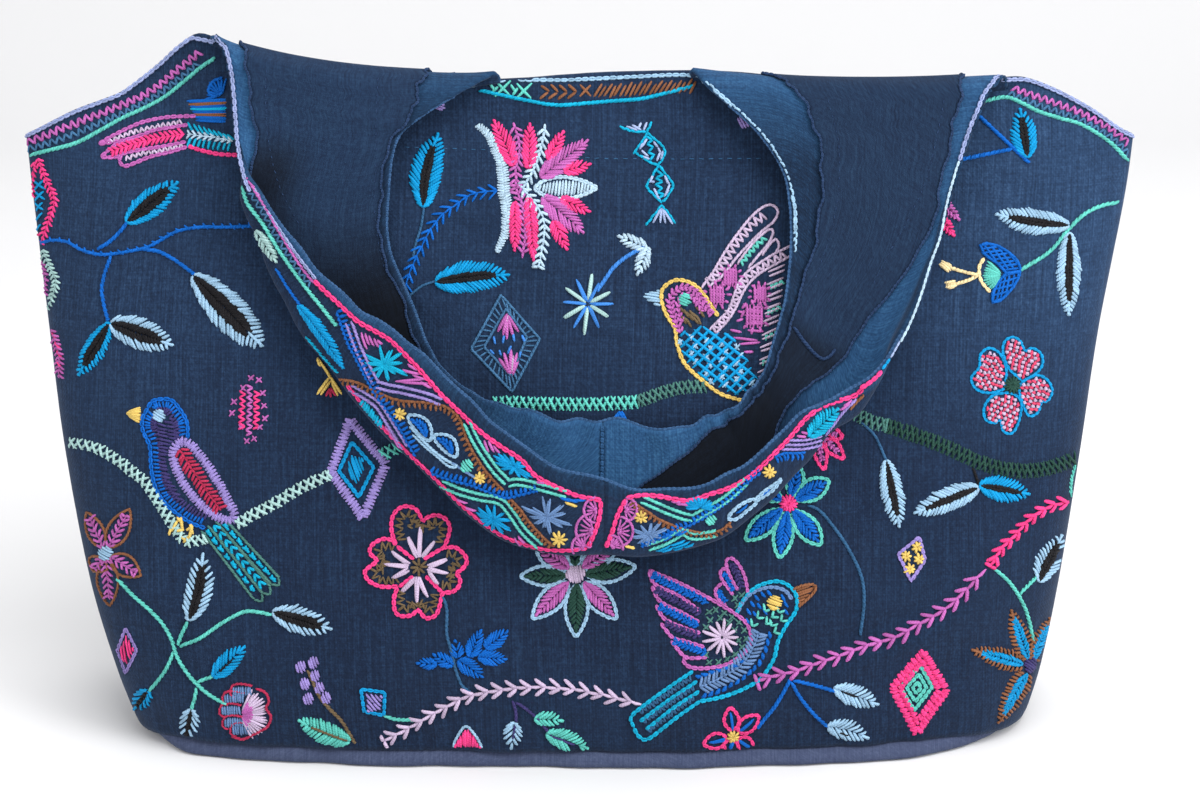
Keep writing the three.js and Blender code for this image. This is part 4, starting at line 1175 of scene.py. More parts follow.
for k_, c_ in enumerate(("royal", "brown", "royal", "turquoise", "royal", "brown", "royal", "royal")):
    straight(body, c_, [(187 + 1.2 * k_, 101 + 2.7 * k_)], [(226, 99 + 3.0 * k_)], 0.46, 5)
    straight(body, c_, [(189 + 1.2 * k_, 102.4 + 2.7 * k_)], [(226, 100.5 + 3.0 * k_)], 0.46, 5)
rays(body, (222, 95), 2, 17, 9, "royal", 165, 285, 0.46)
stem(body, [(224, 92), (214, 96), (209, 90), (214, 81), (222, 78)], "royal", 8, 4, 2)

# ---- blue stem with leaves
coral(body, [(41, 243), (54, 240), (68, 242), (80, 249), (97, 254), (112, 254), (130, 251), (148, 247), (163, 239), (178, 231), (200, 227), (224, 227), (252, 226)], "royal")
stem(body, [(97, 249), (108, 243), (118, 234), (127, 223)], "royal", 10, 5, 2.4, 0.55)
stem(body, [(143, 249), (160, 252), (178, 262), (194, 274)], "royal", 10, 5, 2.4, 0.55)
stem(body, [(112, 255), (106, 270), (102, 288), (104, 304), (108, 320)], "royal", 10, 5, 2.4, 0.55)
leaf(body, (127, 222), (178, 182), 27, "teal_blue", "black")
leaf(body, (193, 275), (262, 346), 37, "light_blue", "black", fat=1.12, blunt=0.48)
leaf(body, (111, 323), (173, 345), 31, "light_blue", "black")
leaf(body, (110, 323), (79, 375), 22, "teal_blue", "black", fat=1.0)

# ---- bird on the left, with its branch
PALE = [(69, 443), (85, 445), (101, 450), (117, 460), (132, 471), (145, 482), (155, 496), (164, 510), (174, 526), (184, 540), (196, 541), (207, 538)]
herring(body, PALE, 11, 7.4, "pale_mint", 0.5)
herring(body, [(236, 525), (252, 515), (268, 507), (284, 498), (300, 488), (316, 481), (331, 474)], 11.5, 8.0, "pale_mint", 0.52)
herring(body, [(380, 456), (390, 451), (400, 446)], 13, 8, "mint", 0.46)
LEFT = [(148, 408), (143, 418), (143, 430), (150, 446), (151, 462), (154, 482), (162, 499), (174, 511), (190, 522), (205, 528)]
RIGHT_ = [(148, 408), (153, 401), (163, 399), (173, 401), (181, 411), (187, 422), (188, 438)]
chain(body, LEFT, "royal", 6.5, 5.5, 0.46)
chain(body, RIGHT_, "royal", 6.5, 5.5, 0.46)
for ctrl_, g_ in ((LEFT, 1), (RIGHT_, -1)):
    L_ = Line(ctrl_)
    s_ = np.arange(3, L_.length - 2, 4.0)
    straight(body, "royal", L_.at(s_, g_ * 2 * np.ones(len(s_))), L_.at(s_ + 1, g_ * 9.5 * np.ones(len(s_))), 0.42)
    s_ = s_ + 2.0
    straight(body, "purple", L_.at(s_, g_ * 7 * np.ones(len(s_))), L_.at(s_ + 1, g_ * 15 * np.ones(len(s_))), 0.42)
fill(body, [(156, 424), (172, 418), (180, 436), (170, 446), (166, 462), (172, 482), (184, 500), (176, 500), (164, 484), (157, 462), (157, 440)], "purple", 12, 3.0, 14)
for k_ in range(8):
    straight(body, "yellow", [(126 + 0.5 * abs(k_ - 3.5), 412.6 + 0.35 * k_)], [(141.2 - 0.06 * (k_ - 3.5) ** 2, 407.6 + 2.1 * k_)], 0.5)
disc(body, (159, 415.5), 6.6, 6.8, "light_blue", 30, 0.5)
WING = [(180, 442), (190, 444), (199, 454), (208, 466), (217, 480), (226, 497), (235, 516), (228, 521), (214, 515), (200, 504), (186, 487), (176, 468), (173, 452)]
L_ = Line(WING, True)
s_ = np.arange(0, L_.length, 3.4)
straight(body, "lilac", L_.at(s_, -4.5 * np.ones(len(s_))), L_.at(s_ + 2.4, 4.5 * np.ones(len(s_))), 0.55, 3, 0.15)
straight(body, "lilac", L_.at(s_ + 1.7, 4.0 * np.ones(len(s_))), L_.at(s_ + 3.4, -4.0 * np.ones(len(s_))), 0.55, 3, 0.35)
fern(body, [(180, 450), (189, 464), (201, 482), (213, 500), (221, 510)], 16, 4.6, "crimson", 1.0, 0.5)
TAILS = (((205, 528), (262, 601)), ((213, 524), (270, 594)), ((222, 522), (279, 585)))
for i_, (a_, b_) in enumerate(TAILS):
    a_, b_ = np.array(a_, float), np.array(b_, float)
    d_ = (b_ - a_) / np.linalg.norm(b_ - a_)
    n_ = np.array([-d_[1], d_[0]])
    for g_ in (-5.2, 5.2):
        stem(body, [a_ + n_ * g_ * 0.8, b_ - d_ * 6 + n_ * g_], "slate_green", 9, 5, 1.8, 0.4)
    stem(body, [b_ - d_ * 6 + n_ * 5, b_, b_ - d_ * 6 - n_ * 5], "slate_green", 6, 4, 1.5, 0.4)
    if i_ == 1:
        fern(body, [a_ + d_ * 2, (a_ + b_) / 2, b_ - d_ * 8], 7.5, 9.0, "turquoise", 0.75, 0.55, False)
    else:
        for k_ in np.arange(3, np.linalg.norm(b_ - a_) - 10, 10.0):
            c_ = a_ + d_ * k_
            straight(body, "turquoise", [c_ - n_ * 2, c_ + n_ * 1.6, c_ + d_ * 4], [c_ + d_ * 5 + n_ * 1.5, c_ + d_ * 5 - n_ * 1.5, c_ + d_ * 7.5], 0.52)
straight(body, "yellow", [(177, 517), (181, 516), (190, 523), (193, 524), (178, 520), (172, 528), (186, 530), (186, 540), (176, 530), (190, 536)],
         [(184, 523), (183, 530), (193, 534), (189, 540), (171, 532), (169, 535), (192, 527), (180, 536), (184, 530), (183, 542)], 0.55)
# diamond fruit and the small cone
DIAMOND = [(350, 420), (386, 464), (363, 518), (331, 472)]
L_ = Line(DIAMOND, True, True)
s_ = np.arange(0, L_.length, 3.6)
straight(body, "lilac", L_.at(s_, -4.6 * np.ones(len(s_))), L_.at(s_ + 2.2, 4.6 * np.ones(len(s_))), 0.55, 3, 0.1)
straight(body, "lilac", L_.at(s_ + 1.8, 4.4 * np.ones(len(s_))), L_.at(s_ + 3.6, -4.4 * np.ones(len(s_))), 0.55, 3, 0.3)
chain(body, [(352, 442), (374, 467), (359, 497), (339, 471)], "teal_blue", 6, 4.6, 0.45, True, True)
fill(body, [(352, 455), (363, 458), (364, 470), (357, 484), (349, 476), (348, 463)], "teal_blue", 70, 2.2, 40, 0.5)
for k_, c_ in enumerate(("pink", "orchid", "pink")):
    zigzag(body, [(242.5 + 7.2 * k_, 385 if k_ == 1 else 391), (241.5 + 7.2 * k_, 437 if k_ == 1 else 431)], 6, 6.4, c_, 0.42)
crosses(body, [(251, 378), (259, 380), (243, 388), (263, 393), (234, 402), (264, 406), (232, 413), (265, 418), (241, 427), (260, 427), (247, 441), (254, 439)], 5.4, "orchid", 0.42)
straight(body, "yellow", [(318, 358), (321, 362), (330, 377), (331, 381), (331, 377), (332, 381), (317, 358)], [(331, 377), (332, 380), (317, 394), (321, 395), (342, 394), (338, 396), (320, 366)], 0.52)
straight(body, "crimson", [(331, 388), (331, 388), (331, 389)], [(326, 396), (336, 396), (331, 397)], 0.5)

# ---- flower and twigs at the lower left
for tip_ in ((87, 512), (130, 509), (141, 576), (110, 606), (94, 571)):
    v_ = np.array(tip_, float) - (106, 553)
    b_ = np.array((106, 553)) + v_ / np.linalg.norm(v_) * 6
    outline_leaf(body, b_, tip_, 21 if v_[1] > -30 or v_[0] > 0 else 17, "brown", stem, stitch=8, pitch=4, w=1.6, r=0.4)
    fern(body, [b_, b_ + (np.array(tip_) - b_) * 0.5, b_ + (np.array(tip_) - b_) * 0.85], 11, 6.0, "orchid", 1.0, 0.5)
disc(body, (106, 553), 7.5, 7.8, "light_blue", 30, 0.5, 0.3)
stem(body, [(117, 578), (133, 595), (150, 610), (163, 624), (172, 640), (177, 656), (186, 671), (196, 683), (210, 695), (226, 704)], "mint", 10, 5, 2.4, 0.55)
stem(body, [(178, 645), (182, 634), (188, 622)], "mint", 9, 5, 2.2, 0.55)
stem(body, [(180, 646), (200, 638), (222, 623), (243, 612), (258, 612), (272, 615)], "mint", 10, 5, 2.4, 0.55)
stem(body, [(174, 652), (167, 668), (158, 681), (150, 690)], "mint", 10, 5, 2.2, 0.55)
stem(body, [(197, 682), (205, 679), (213, 676)], "mint", 8, 4.5, 2.2, 0.55)
stem(body, [(197, 688), (195, 698), (192, 708)], "mint", 8, 4.5, 2.2, 0.55)
leaf(body, (190, 620), (203, 554), 28, "light_blue", "black", -3, 3.6, 0.3, 0.9)
leaf(body, (273, 612), (332, 629), 27, "light_blue", "black", 0, 3.2, 0.4, 1.0)
leaf(body, (149, 690), (135, 709), 19, "teal_blue", "black", 0, 2.4, 0.2, 0.7)
leaf(body, (214, 676), (245, 646), 20, "teal_blue", None, 0, 2.7, 0.2, 1.0)
straight(body, "black", [(219, 672), (226, 666)], [(227, 665), (234, 658)], 0.42, 4, 0.4)
leaf(body, (192, 709), (186, 740), 20, "light_blue", "black", 0, 3.2, 0.15, 1.0)
for i_ in range(5):
    a_ = math.radians(106 + 37 * i_)
    c_ = np.array((246 + 15 * math.cos(a_), 711 - 20 * math.sin(a_)))
    fill(body, [c_ + (-9, -5), c_ + (9, -5), c_ + (10, 4), c_ + (-9, 5)], "slate", 86, 2.0, 40, 0.42)
    stem(body, [c_ + (-11, -3), c_ + (-8, -7), c_ + (0, -8), c_ + (10, -6)], "crimson", 7, 4, 1.4, 0.4)
    stem(body, [c_ + (-11, -3), c_ + (-11, 3), c_ + (-6, 6)], "crimson", 7, 4, 1.4, 0.4)
rays(body, (241, 714), 3, 27, 19, "pale_pink", -66, 66, 0.5, 0.95)
rays(body, (241, 714), 2, 15, 11, "orchid", -60, 60, 0.44, 0.95, 0.3)
stem(body, [(256, 688), (266, 693), (269, 702), (266, 708), (271, 716), (268, 726), (260, 731), (252, 735), (243, 739), (232, 736)], "crimson", 7, 4, 1.6, 0.42)
fill(body, [(126, 634), (135, 650), (126, 667), (120, 650)], "pink", 80, 2.4, 30)
chain(body, [(126, 628), (137, 650), (126, 673), (118, 650)], "lilac", 5.5, 4, 0.4, True, True)
# sprig of lavender and the small diamond bud
stem(body, [(308, 670), (314, 684), (320, 697), (330, 709), (341, 720), (348, 731), (355, 743)], "olive", 9, 4.6, 2.2, 0.5)
for x_, y_ in ((301, 667), (313, 663), (315, 676), (305, 684), (319, 688), (308, 699), (326, 698)):
    disc(body, (x_, y_), 5.0, 6.2, "lilac", 70, 0.5, 0.2)
leaf(body, (350, 741), (299, 720), 23, "mint", None, 2, 2.4, 0.2, 0.5)
stem(body, [(348, 740), (330, 734), (312, 727)], "olive", 9, 5, 1.4, 0.4, up=0.5)
fill(body, [(366, 693), (382, 696), (381, 710), (368, 712)], "lilac", 50, 2.6, 14)
chain(body, [(361, 689), (385, 692), (384, 715), (364, 711)], "teal_blue", 6, 4.2, 0.42, True, True)
stem(body, [(384, 715), (395, 719), (414, 720)], "mint", 9, 4.6, 2.2, 0.5)

# ---- heart flower, its stem and the small blue leaves
HEART = [(396, 545), (392, 532), (392, 519), (397, 510), (406, 506), (416, 509), (421, 517), (423, 521), (428, 517), (437, 515), (446, 519), (450, 527),
         (448, 538), (445, 547), (455, 547), (464, 554), (467, 562), (461, 570), (456, 573), (460, 578), (459, 586), (452, 592), (443, 593), (440, 605),
         (436, 615), (426, 618), (418, 610), (412, 615), (401, 616), (395, 611), (394, 598), (397, 587), (389, 587), (379, 586), (368, 580), (365, 571),
         (372, 565), (377, 560), (370, 553), (372, 545), (382, 539), (392, 540)]
chain(body, HEART, "pink", 6.2, 5.4, 0.46, True)
for a_, b_ in (((397, 546), (414, 559)), ((446, 546), (424, 559)), ((442, 592), (426, 576)), ((399, 587), (413, 576))):
    chain(body, [a_, b_], "pink", 6.2, 5.0, 0.46)
for q_ in ([(402, 541), (399, 530), (400, 519), (406, 513), (413, 516), (419, 525), (424, 529), (429, 523), (437, 521), (443, 527), (441, 537), (438, 545)],
           [(395, 547), (385, 546), (378, 549), (380, 556), (386, 562), (379, 567), (373, 572), (379, 580), (389, 581), (398, 579)],
           [(446, 554), (455, 554), (460, 561), (454, 567), (448, 572), (452, 577), (453, 585), (445, 586), (438, 583)],
           [(401, 590), (400, 600), (402, 609), (411, 608), (418, 602), (425, 609), (433, 610), (434, 599), (437, 590)]):
    zigzag(body, q_, 8.5, 6.2, "olive", 0.35)
    m_ = np.mean(q_, axis=0)
    zigzag(body, m_ + (np.array(q_[1:-1]) - m_) * 0.5, 5.5, 5.5, "olive", 0.35)
rays(body, (419, 567), 1, 9, 8, "olive", r=0.46)
for a_, b_ in (((419, 557), (421, 527)), ((418, 557), (408, 537)), ((422, 557), (434, 541)), ((408, 566), (384, 564)), ((409, 564), (392, 551)), ((409, 569), (392, 578)),
               ((428, 566), (447, 559)), ((428, 568), (448, 573)), ((429, 571), (438, 584)), ((417, 577), (417, 604)), ((415, 578), (402, 592)), ((419, 578), (428, 597))):
    a_, b_ = np.array(a_, float), np.array(b_, float)
    n_ = np.array([-(b_ - a_)[1], (b_ - a_)[0]]) / np.linalg.norm(b_ - a_)
    straight(body, "pale_pink", [a_ + n_, a_ - n_], [b_ + n_ * 0.4, b_ - n_ * 0.4], 0.6, 4, 0.25)
stem(body, [(443, 596), (447, 610), (447, 634), (452, 652), (456, 670), (462, 685), (470, 692)], "deep_slate", 9, 4.6, 1.8, 0.48)
for a_, b_, w_ in (((458, 657), (455, 640), 13), ((470, 656), (481, 630), 16), ((486, 647), (508, 631), 16), ((479, 657), (507, 659), 16), ((459, 660), (483, 677), 17),
                   ((453, 665), (433, 654), 14), ((436, 664), (417, 663), 12)):
    leaf(body, a_, b_, w_, "royal", None, 0, 2.1, 0, 1.2, 0.75, 0.44)

# ---- flower of green and orchid petals
for b_, t_, w_, c_ in (((566, 575), (520, 576), 20, "dark_green"), ((586, 574), (636, 566), 23, "dark_green"), ((577, 584), (576, 637), 23, "dark_green"),
                       ((568, 582), (532, 619), 22, "orchid"), ((584, 582), (617, 619), 22, "orchid"), ((569, 568), (535, 545), 22, "orchid"), ((583, 567), (617, 545), 22, "orchid"),
                       ((575, 565), (575, 545), 14, "dark_green")):
    b_, t_ = np.array(b_, float), np.array(t_, float)
    leaf(body, b_, b_ + (t_ - b_) * 0.9, w_ * 0.74, c_, None, 0, 2.6, 0, 1.0, r=0.5, blunt=0.85)
    outline_leaf(body, b_, t_, w_, "light_blue", chain, link=6, w=4.4, r=0.44)
disc(body, (575.5, 573.5), 9.6, 9.8, "pale_pink", 80, 0.52, 0.3)

# ---- pale branch along the bottom, with its sprigs
fern(body, [(384, 741), (397, 734), (419, 722), (437, 712), (450, 704), (464, 697), (484, 692), (500, 690), (515, 688), (544, 687), (562, 688), (578, 690), (596, 693),
            (611, 697), (625, 700), (643, 705)], 15.5, 14.5, "pale_pink", -0.76, 0.68)
fill(body, [(467, 728), (473, 735), (481, 747), (454, 747), (461, 735)], "pink", 90, 2.0, 40, 0.56)
stem(body, [(453, 747), (457, 737), (466, 726), (476, 736), (482, 747)], "light_blue", 8, 4, 1.6, 0.42)
stem(body, [(513, 701), (516, 712), (516, 722)], "purple", 8, 4, 1.8, 0.48)
stem(body, [(516, 702), (525, 708), (536, 717), (544, 726), (551, 735)], "purple", 8, 4, 1.8, 0.48)
leaf(body, (514, 722), (511, 748), 19, "light_blue", None, 0, 2.6, 0, 0.9)
straight(body, "purple", [(515, 722)], [(513, 740)], 0.4, 4, 0.5)
leaf(body, (535, 718), (563, 720), 15, "mint", None, 0, 2.6, 0, 1.0)
leaf(body, (547, 733), (588, 748), 20, "mint", None, 0, 2.4, 0, 0.9)
straight(body, "purple", [(550, 735), (563, 740)], [(564, 740), (575, 744)], 0.4, 4, 0.5)

# ---- bird at the centre right
for ctrl_ in ([(649, 570), (680, 583), (713, 600), (736, 614), (747, 624), (751, 639), (744, 653), (727, 664), (707, 668), (690, 667), (683, 660), (688, 656)],
              [(649, 571), (655, 584), (678, 595), (700, 611)], [(652, 586), (660, 601), (681, 612), (699, 622)], [(656, 605), (665, 619), (683, 627), (700, 633)],
              [(661, 623), (672, 637), (685, 641), (704, 647)], [(671, 641), (684, 656), (693, 658), (707, 657)]):
    chain(body, ctrl_, "orchid", 6.2, 5.0, 0.45)
for a_, b_, c_ in (((653, 575), (709, 603), "royal"), ((660, 606), (699, 626), "royal"), ((674, 641), (706, 653), "royal"), ((656, 589), (701, 613), "purple"), ((666, 623), (701, 637), "purple")):
    fern(body, [a_, b_], 8.5, 4.2, c_, -0.9, 0.5)
crosses(body, [(709, 612), (716, 610), (724, 613), (732, 617), (739, 622), (710, 620), (744, 630), (746, 639), (742, 647), (735, 654), (727, 659), (718, 662), (709, 662), (706, 627),
               (738, 640), (735, 630), (729, 622), (706, 655), (720, 618)], 6, "slate_green", 0.42)
rays(body, (722, 637), 2, 18, 13, "pale_pink", r=0.6, up=0.3, vary=0.15)
for ctrl_ in ([(748, 594), (745, 578), (739, 565), (731, 558), (726, 561), (728, 571), (733, 582), (738, 590)],
              [(727, 569), (722, 569), (720, 574), (723, 581), (729, 589), (733, 595)], [(722, 583), (717, 587), (715, 593), (720, 601), (726, 605)]):
    chain(body, ctrl_, "orchid", 6.0, 4.2, 0.42)
fern(body, [(724, 573), (728, 580), (733, 590)], 4.6, 3.8, "royal", 0.9, 0.46)
fern(body, [(731, 563), (737, 574), (742, 588)], 8, 4.0, "purple", 0.9, 0.48)
fern(body, [(718, 590), (721, 596), (726, 602)], 4.6, 3.8, "royal", 0.9, 0.46)
crosses(body, [(735, 598), (742, 595), (738, 605)], 6, "slate_green", 0.42)
chain(body, [(736, 614), (743, 600), (756, 587), (775, 581), (788, 585), (796, 595), (796, 610), (787, 624), (778, 641), (774, 658), (765, 673), (756, 682), (736, 692), (717, 698), (700, 701)],
      "turquoise", 6.4, 5.2, 0.46)
chain(body, [(738, 612), (742, 603), (753, 592), (770, 587), (784, 590), (792, 599)], "slate", 6.0, 4.8, 0.46)
for ctrl_ in ([(693, 671), (669, 687), (644, 705), (631, 717), (634, 727)], [(700, 701), (678, 716), (649, 738), (639, 736), (634, 728)], [(697, 681), (670, 699), (640, 721)], [(699, 691), (673, 708), (646, 729)]):
    chain(body, ctrl_, "turquoise", 6.4, 4.6, 0.44)
zigzag(body, [(691, 678), (665, 695), (638, 714)], 6, 4.4, "deep_slate", 0.38)
zigzag(body, [(694, 687), (668, 704), (643, 722)], 6, 4.4, "deep_slate", 0.38)
zigzag(body, [(694, 697), (670, 714), (646, 732)], 6, 4.4, "deep_slate", 0.38)
for p_ in ((757, 598), (763, 594), (769, 593), (752, 604), (759, 606), (748, 612), (755, 614), (748, 621), (765, 611), (786, 604), (786, 612), (783, 598)):
    straight(body, "royal", [np.array(p_) - (2, 3)], [np.array(p_) + (2, 3)], 0.6, 3)
for x_, y_, a_ in ((764, 611, 125), (757, 618, 140), (752, 626, 120), (766, 624, 130), (772, 617, 140), (778, 612, 120), (781, 621, 135), (771, 626, 125), (774, 632, 150)):
    for d_ in (-40, 40):
        v_ = np.array((math.cos(math.radians(a_ + 180 + d_)), math.sin(math.radians(a_ + 180 + d_))))
        straight(body, "mint", [(x_, y_)], [np.array((x_, y_)) + v_ * 7], 0.46, 4, 0.2)
disc(body, (774.5, 602.5), 7.3, 7.3, "yellow", 20, 0.5, 0.35)
fill(body, [(794, 590), (814, 584), (815, 588), (798, 606)], "brown", -20, 2.2, 30, 0.48)
stem(body, [(793, 589), (804, 585), (815, 585), (813, 593), (799, 606)], "brown", 7, 4, 1.6, 0.46, up=0.2)
fern(body, [(700, 687), (722, 677), (741, 665), (753, 648), (759, 632)], 19, 4.4, "slate", 1.5, 0.5)
for ctrl_, g_ in (([(702, 698), (722, 692), (746, 678), (762, 663), (769, 645), (773, 632)], 1), ([(695, 675), (712, 670), (735, 663), (746, 654)], -1)):
    L_ = Line(ctrl_)
    s_ = np.arange(2, L_.length - 2, 7.5)
    straight(body, "royal", L_.at(s_ - 3, g_ * 0.5 * np.ones(len(s_))), L_.at(s_ + 3.5, g_ * 3.5 * np.ones(len(s_))), 0.75, 3)

# ---- orchid and pink branch on the right, with its sprigs
fern(body, [(757, 682), (775, 675), (794, 672), (814, 664), (833, 658), (848, 652), (870, 644), (887, 640), (904, 633), (918, 624), (935, 615), (950, 605), (964, 592), (976, 578), (988, 568)],
     15.5, 14.6, "orchid", -0.76, 0.68)
fern(body, [(990, 566), (1000, 549), (1016, 534), (1028, 520), (1042, 510), (1055, 504), (1069, 502)], 12.5, 11.5, "pink", -0.76, 0.7)
stem(body, [(790, 680), (783, 693), (775, 706), (766, 717), (758, 727)], "royal", 9, 4.6, 2.4, 0.55)
stem(body, [(791, 681), (800, 697), (814, 714), (827, 726)], "royal", 9, 4.6, 2.4, 0.55)
stem(body, [(793, 680), (814, 685), (835, 691)], "royal", 9, 4.6, 2.4, 0.55)
leaf(body, (834, 688), (878, 704), 22, "light_blue", None, 0, 2.8, 0, 0.9)
leaf(body, (828, 726), (868, 738), 21, "light_blue", None, 2, 2.9, 0, 0.9)
straight(body, "black", [(842, 691), (838, 731)], [(856, 697), (850, 735)], 0.4, 4, 0.5)
for t_ in ((730, 707), (759, 715), (703, 744), (729, 752), (754, 750)):
    b_ = np.array((733, 736.0)) + (np.array(t_) - (733, 736)) * 0.2
    outline_leaf(body, b_, t_, 15, "pink", chain, link=5.5, w=4.2, r=0.42)
    straight(body, "royal", [b_, b_ + (1, 1)], [b_ + (np.array(t_) - b_) * 0.75] * 2, 0.5)
rays(body, (733, 736), 0.5, 6, 9, "yellow", r=0.48, up=0.35)

# ---- diamonds
chain(body, [(919, 537), (925, 560), (911, 581), (898, 554)], "lilac", 6, 4.2, 0.44, True, True)
for p_ in ((917, 547), (906, 556), (919, 559), (910, 569)):
    rays(body, p_, 0.3, 5.6, 7, "yellow", r=0.48)
for k_, w_ in ((1.0, 9.0), (0.74, 8.0)):
    c_ = np.array((919.5, 690))
    L_ = Line([c_ + (np.array(p) - c_) * k_ for p in ((923, 651), (947, 690), (917, 734), (892, 688))], True, True)
    s_ = np.arange(0, L_.length, 5.4)
    straight(body, "pink", L_.at(s_, -w_ * 0.42 * np.ones(len(s_))), L_.at(s_ + 3.0, w_ * 0.42 * np.ones(len(s_))), 0.75, 3)
    straight(body, "pink", L_.at(s_ + 1.8, -w_ * 0.42 * np.ones(len(s_))), L_.at(s_ + 5.0, w_ * 0.30 * np.ones(len(s_))), 0.7, 3, 0.2)
for k_ in (1.0, 0.62, 0.26):
    c_ = np.array((916.5, 687.5))
    chain(body, [c_ + (np.array(p) - c_) * k_ for p in ((920, 665), (932, 687), (914, 710), (900, 687))], "mint", 5.6, 4.6, 0.46, True, True)

# ---- right side: star flower, twigs, leaves, green branch
for t_, w_ in (((972, 650), 22), ((1011, 610), 21), ((1049, 618), 18), ((998, 722), 22)):
    b_ = np.array((1030, 666.0)) + (np.array(t_) - (1030, 666)) * 0.12
    leaf(body, b_, t_, w_, "brown", "teal_blue", 0, 2.7, 0.42, 0.2, 0.62, 0.48)
disc(body, (1030, 665), 6.5, 8, "purple", 40, 0.5, 0.3)
stem(body, [(995, 569), (1010, 583), (1022, 602), (1028, 618), (1033, 641)], "mint", 9, 4.6, 2.2, 0.52)
stem(body, [(1019, 594), (1027, 586), (1036, 577)], "mint", 9, 4.6, 2.2, 0.52)
leaf(body, (1038, 581), (1061, 535), 24, "light_blue", "black", 0, 2.6, 0.36)
leaf(body, (886, 460), (899, 527), 23, "light_blue", "black", 0, 2.7, 0.26, 0.9, 1.0)
leaf(body, (978, 487), (914, 513), 24, "light_blue", "black", 0, 2.4, 0.22)
leaf(body, (979, 485), (1029, 494), 25, "teal_blue", "black", 0, 2.2, 0.18)
stem(body, [(861, 422), (875, 436), (886, 460)], "deep_slate", 8, 4, 1.6, 0.44)
stem(body, [(973, 468), (976, 477), (979, 486)], "black", 8, 4, 1.6, 0.44)
stem(body, [(808, 505), (820, 511), (836, 530), (852, 555), (862, 579), (864, 604), (860, 635)], "deep_slate", 9, 4.4, 2.0, 0.48)
GREEN = [(846, 408), (867, 420), (887, 426), (912, 434), (934, 442), (959, 453), (981, 463), (1004, 469), (1024, 471), (1044, 469), (1061, 464), (1078, 457)]
herring(body, GREEN[:3], 14, 6.2, "slate_green", 0.46)
herring(body, GREEN[2:], 15, 5.6, "dark_green", 0.48)
stem(body, [(1075, 464), (1071, 480), (1070, 497)], "mint", 8, 4, 2, 0.46)
for t_, w_ in (((843, 437), 13), ((844, 459), 14), ((824, 470), 13)):
    b_ = np.array((815, 428.0)) + (np.array(t_) - (815, 428)) * 0.12
    outline_leaf(body, b_, t_, w_, "pink", chain, link=5.5, w=4.4, r=0.44)
    fern(body, [b_, b_ + (np.array(t_) - b_) * 0.75], 6, 4.4, "orchid", 0.9, 0.44)

# ---- upper right: leaves, tulip, heart flower
stem(body, [(977, 114), (994, 130), (1009, 144), (1029, 163)], "royal", 10, 5, 2.4, 0.56)
stem(body, [(958, 160), (987, 154), (1011, 149)], "royal", 10, 5, 2.4, 0.56)
leaf(body, (1027, 157), (1020, 109), 26, "teal_blue", "black", 0, 2.5, 0.26)
stem(body, [(1020, 270), (1032, 263), (1045, 255), (1056, 245), (1065, 233), (1083, 215), (1103, 205), (1129, 201)], "mint", 10, 5, 2.4, 0.55)
leaf(body, (1069, 225), (996, 214), 25, "light_blue", "black", 2, 2.4, 0.26, 0.8, 0.95)
leaf(body, (1069, 232), (1068, 315), 24, "light_blue", "black", 0, 2.4, 0.26, 0.8, 0.95)
CAP_HIGH = [(980, 245), (986, 243), (998, 246), (1008, 252), (1016, 259), (1020, 268), (1020, 271), (1006, 273), (998, 264), (989, 258), (983, 253)]
CAP_LOW = [(1020, 272), (1018, 278), (1013, 287), (1005, 296), (999, 301), (992, 302), (992, 294), (998, 282), (1006, 273)]
for q_, a_ in ((CAP_HIGH, -8), (CAP_LOW, -78)):
    fill(body, q_, "royal", a_, 3.3, 40, 0.42)
    fill(body, q_, "royal", a_ + 62, 4.4, 40, 0.42, 0.1)
    stem(body, q_, "royal", 6, 3.2, 1.8, 0.44, True, True, 0.2)
rays(body, (1002, 275), 2, 19, 12, "mint", 128, 222, 0.48)
chain(body, [(984, 258), (979, 267), (981, 281), (990, 292)], "cream", 6, 4.0, 0.44)
stem(body, [(978, 275), (964, 272), (951, 268)], "cream", 8, 4, 2.2, 0.52)
stem(body, [(978, 276), (966, 281), (955, 284)], "cream", 8, 4, 2.2, 0.52)
fill(body, [(939, 265), (942, 260), (950, 264), (954, 270), (948, 272)], "cream", 38, 1.6, 40, 0.5)
fill(body, [(945, 283), (956, 280), (958, 285), (950, 290), (946, 287)], "cream", -12, 1.6, 40, 0.5)
leaf(body, (938, 198), (959, 220), 12, "orchid", None, 0, 2.4, 0, 0.8)
leaf(body, (936, 212), (954, 236), 12, "pink", None, 0, 2.4, 0, 0.8)
PETALS = (
    [(1021, 380), (1009, 369), (1003, 354), (1004, 342), (1012, 337), (1020, 341), (1025, 351), (1032, 348), (1041, 354), (1042, 365), (1035, 374), (1022, 381)],
    [(1005, 383), (1006, 369), (1000, 354), (989, 348), (980, 355), (979, 367), (971, 378), (976, 389), (989, 393), (1003, 389)],
    [(1021, 383), (1036, 375), (1047, 380), (1052, 391), (1047, 401), (1041, 402), (1038, 412), (1029, 416), (1023, 405), (1019, 391)],
    [(1004, 393), (992, 396), (984, 407), (985, 419), (994, 423), (1000, 420), (1003, 431), (1012, 433), (1019, 420), (1021, 402), (1013, 394)])
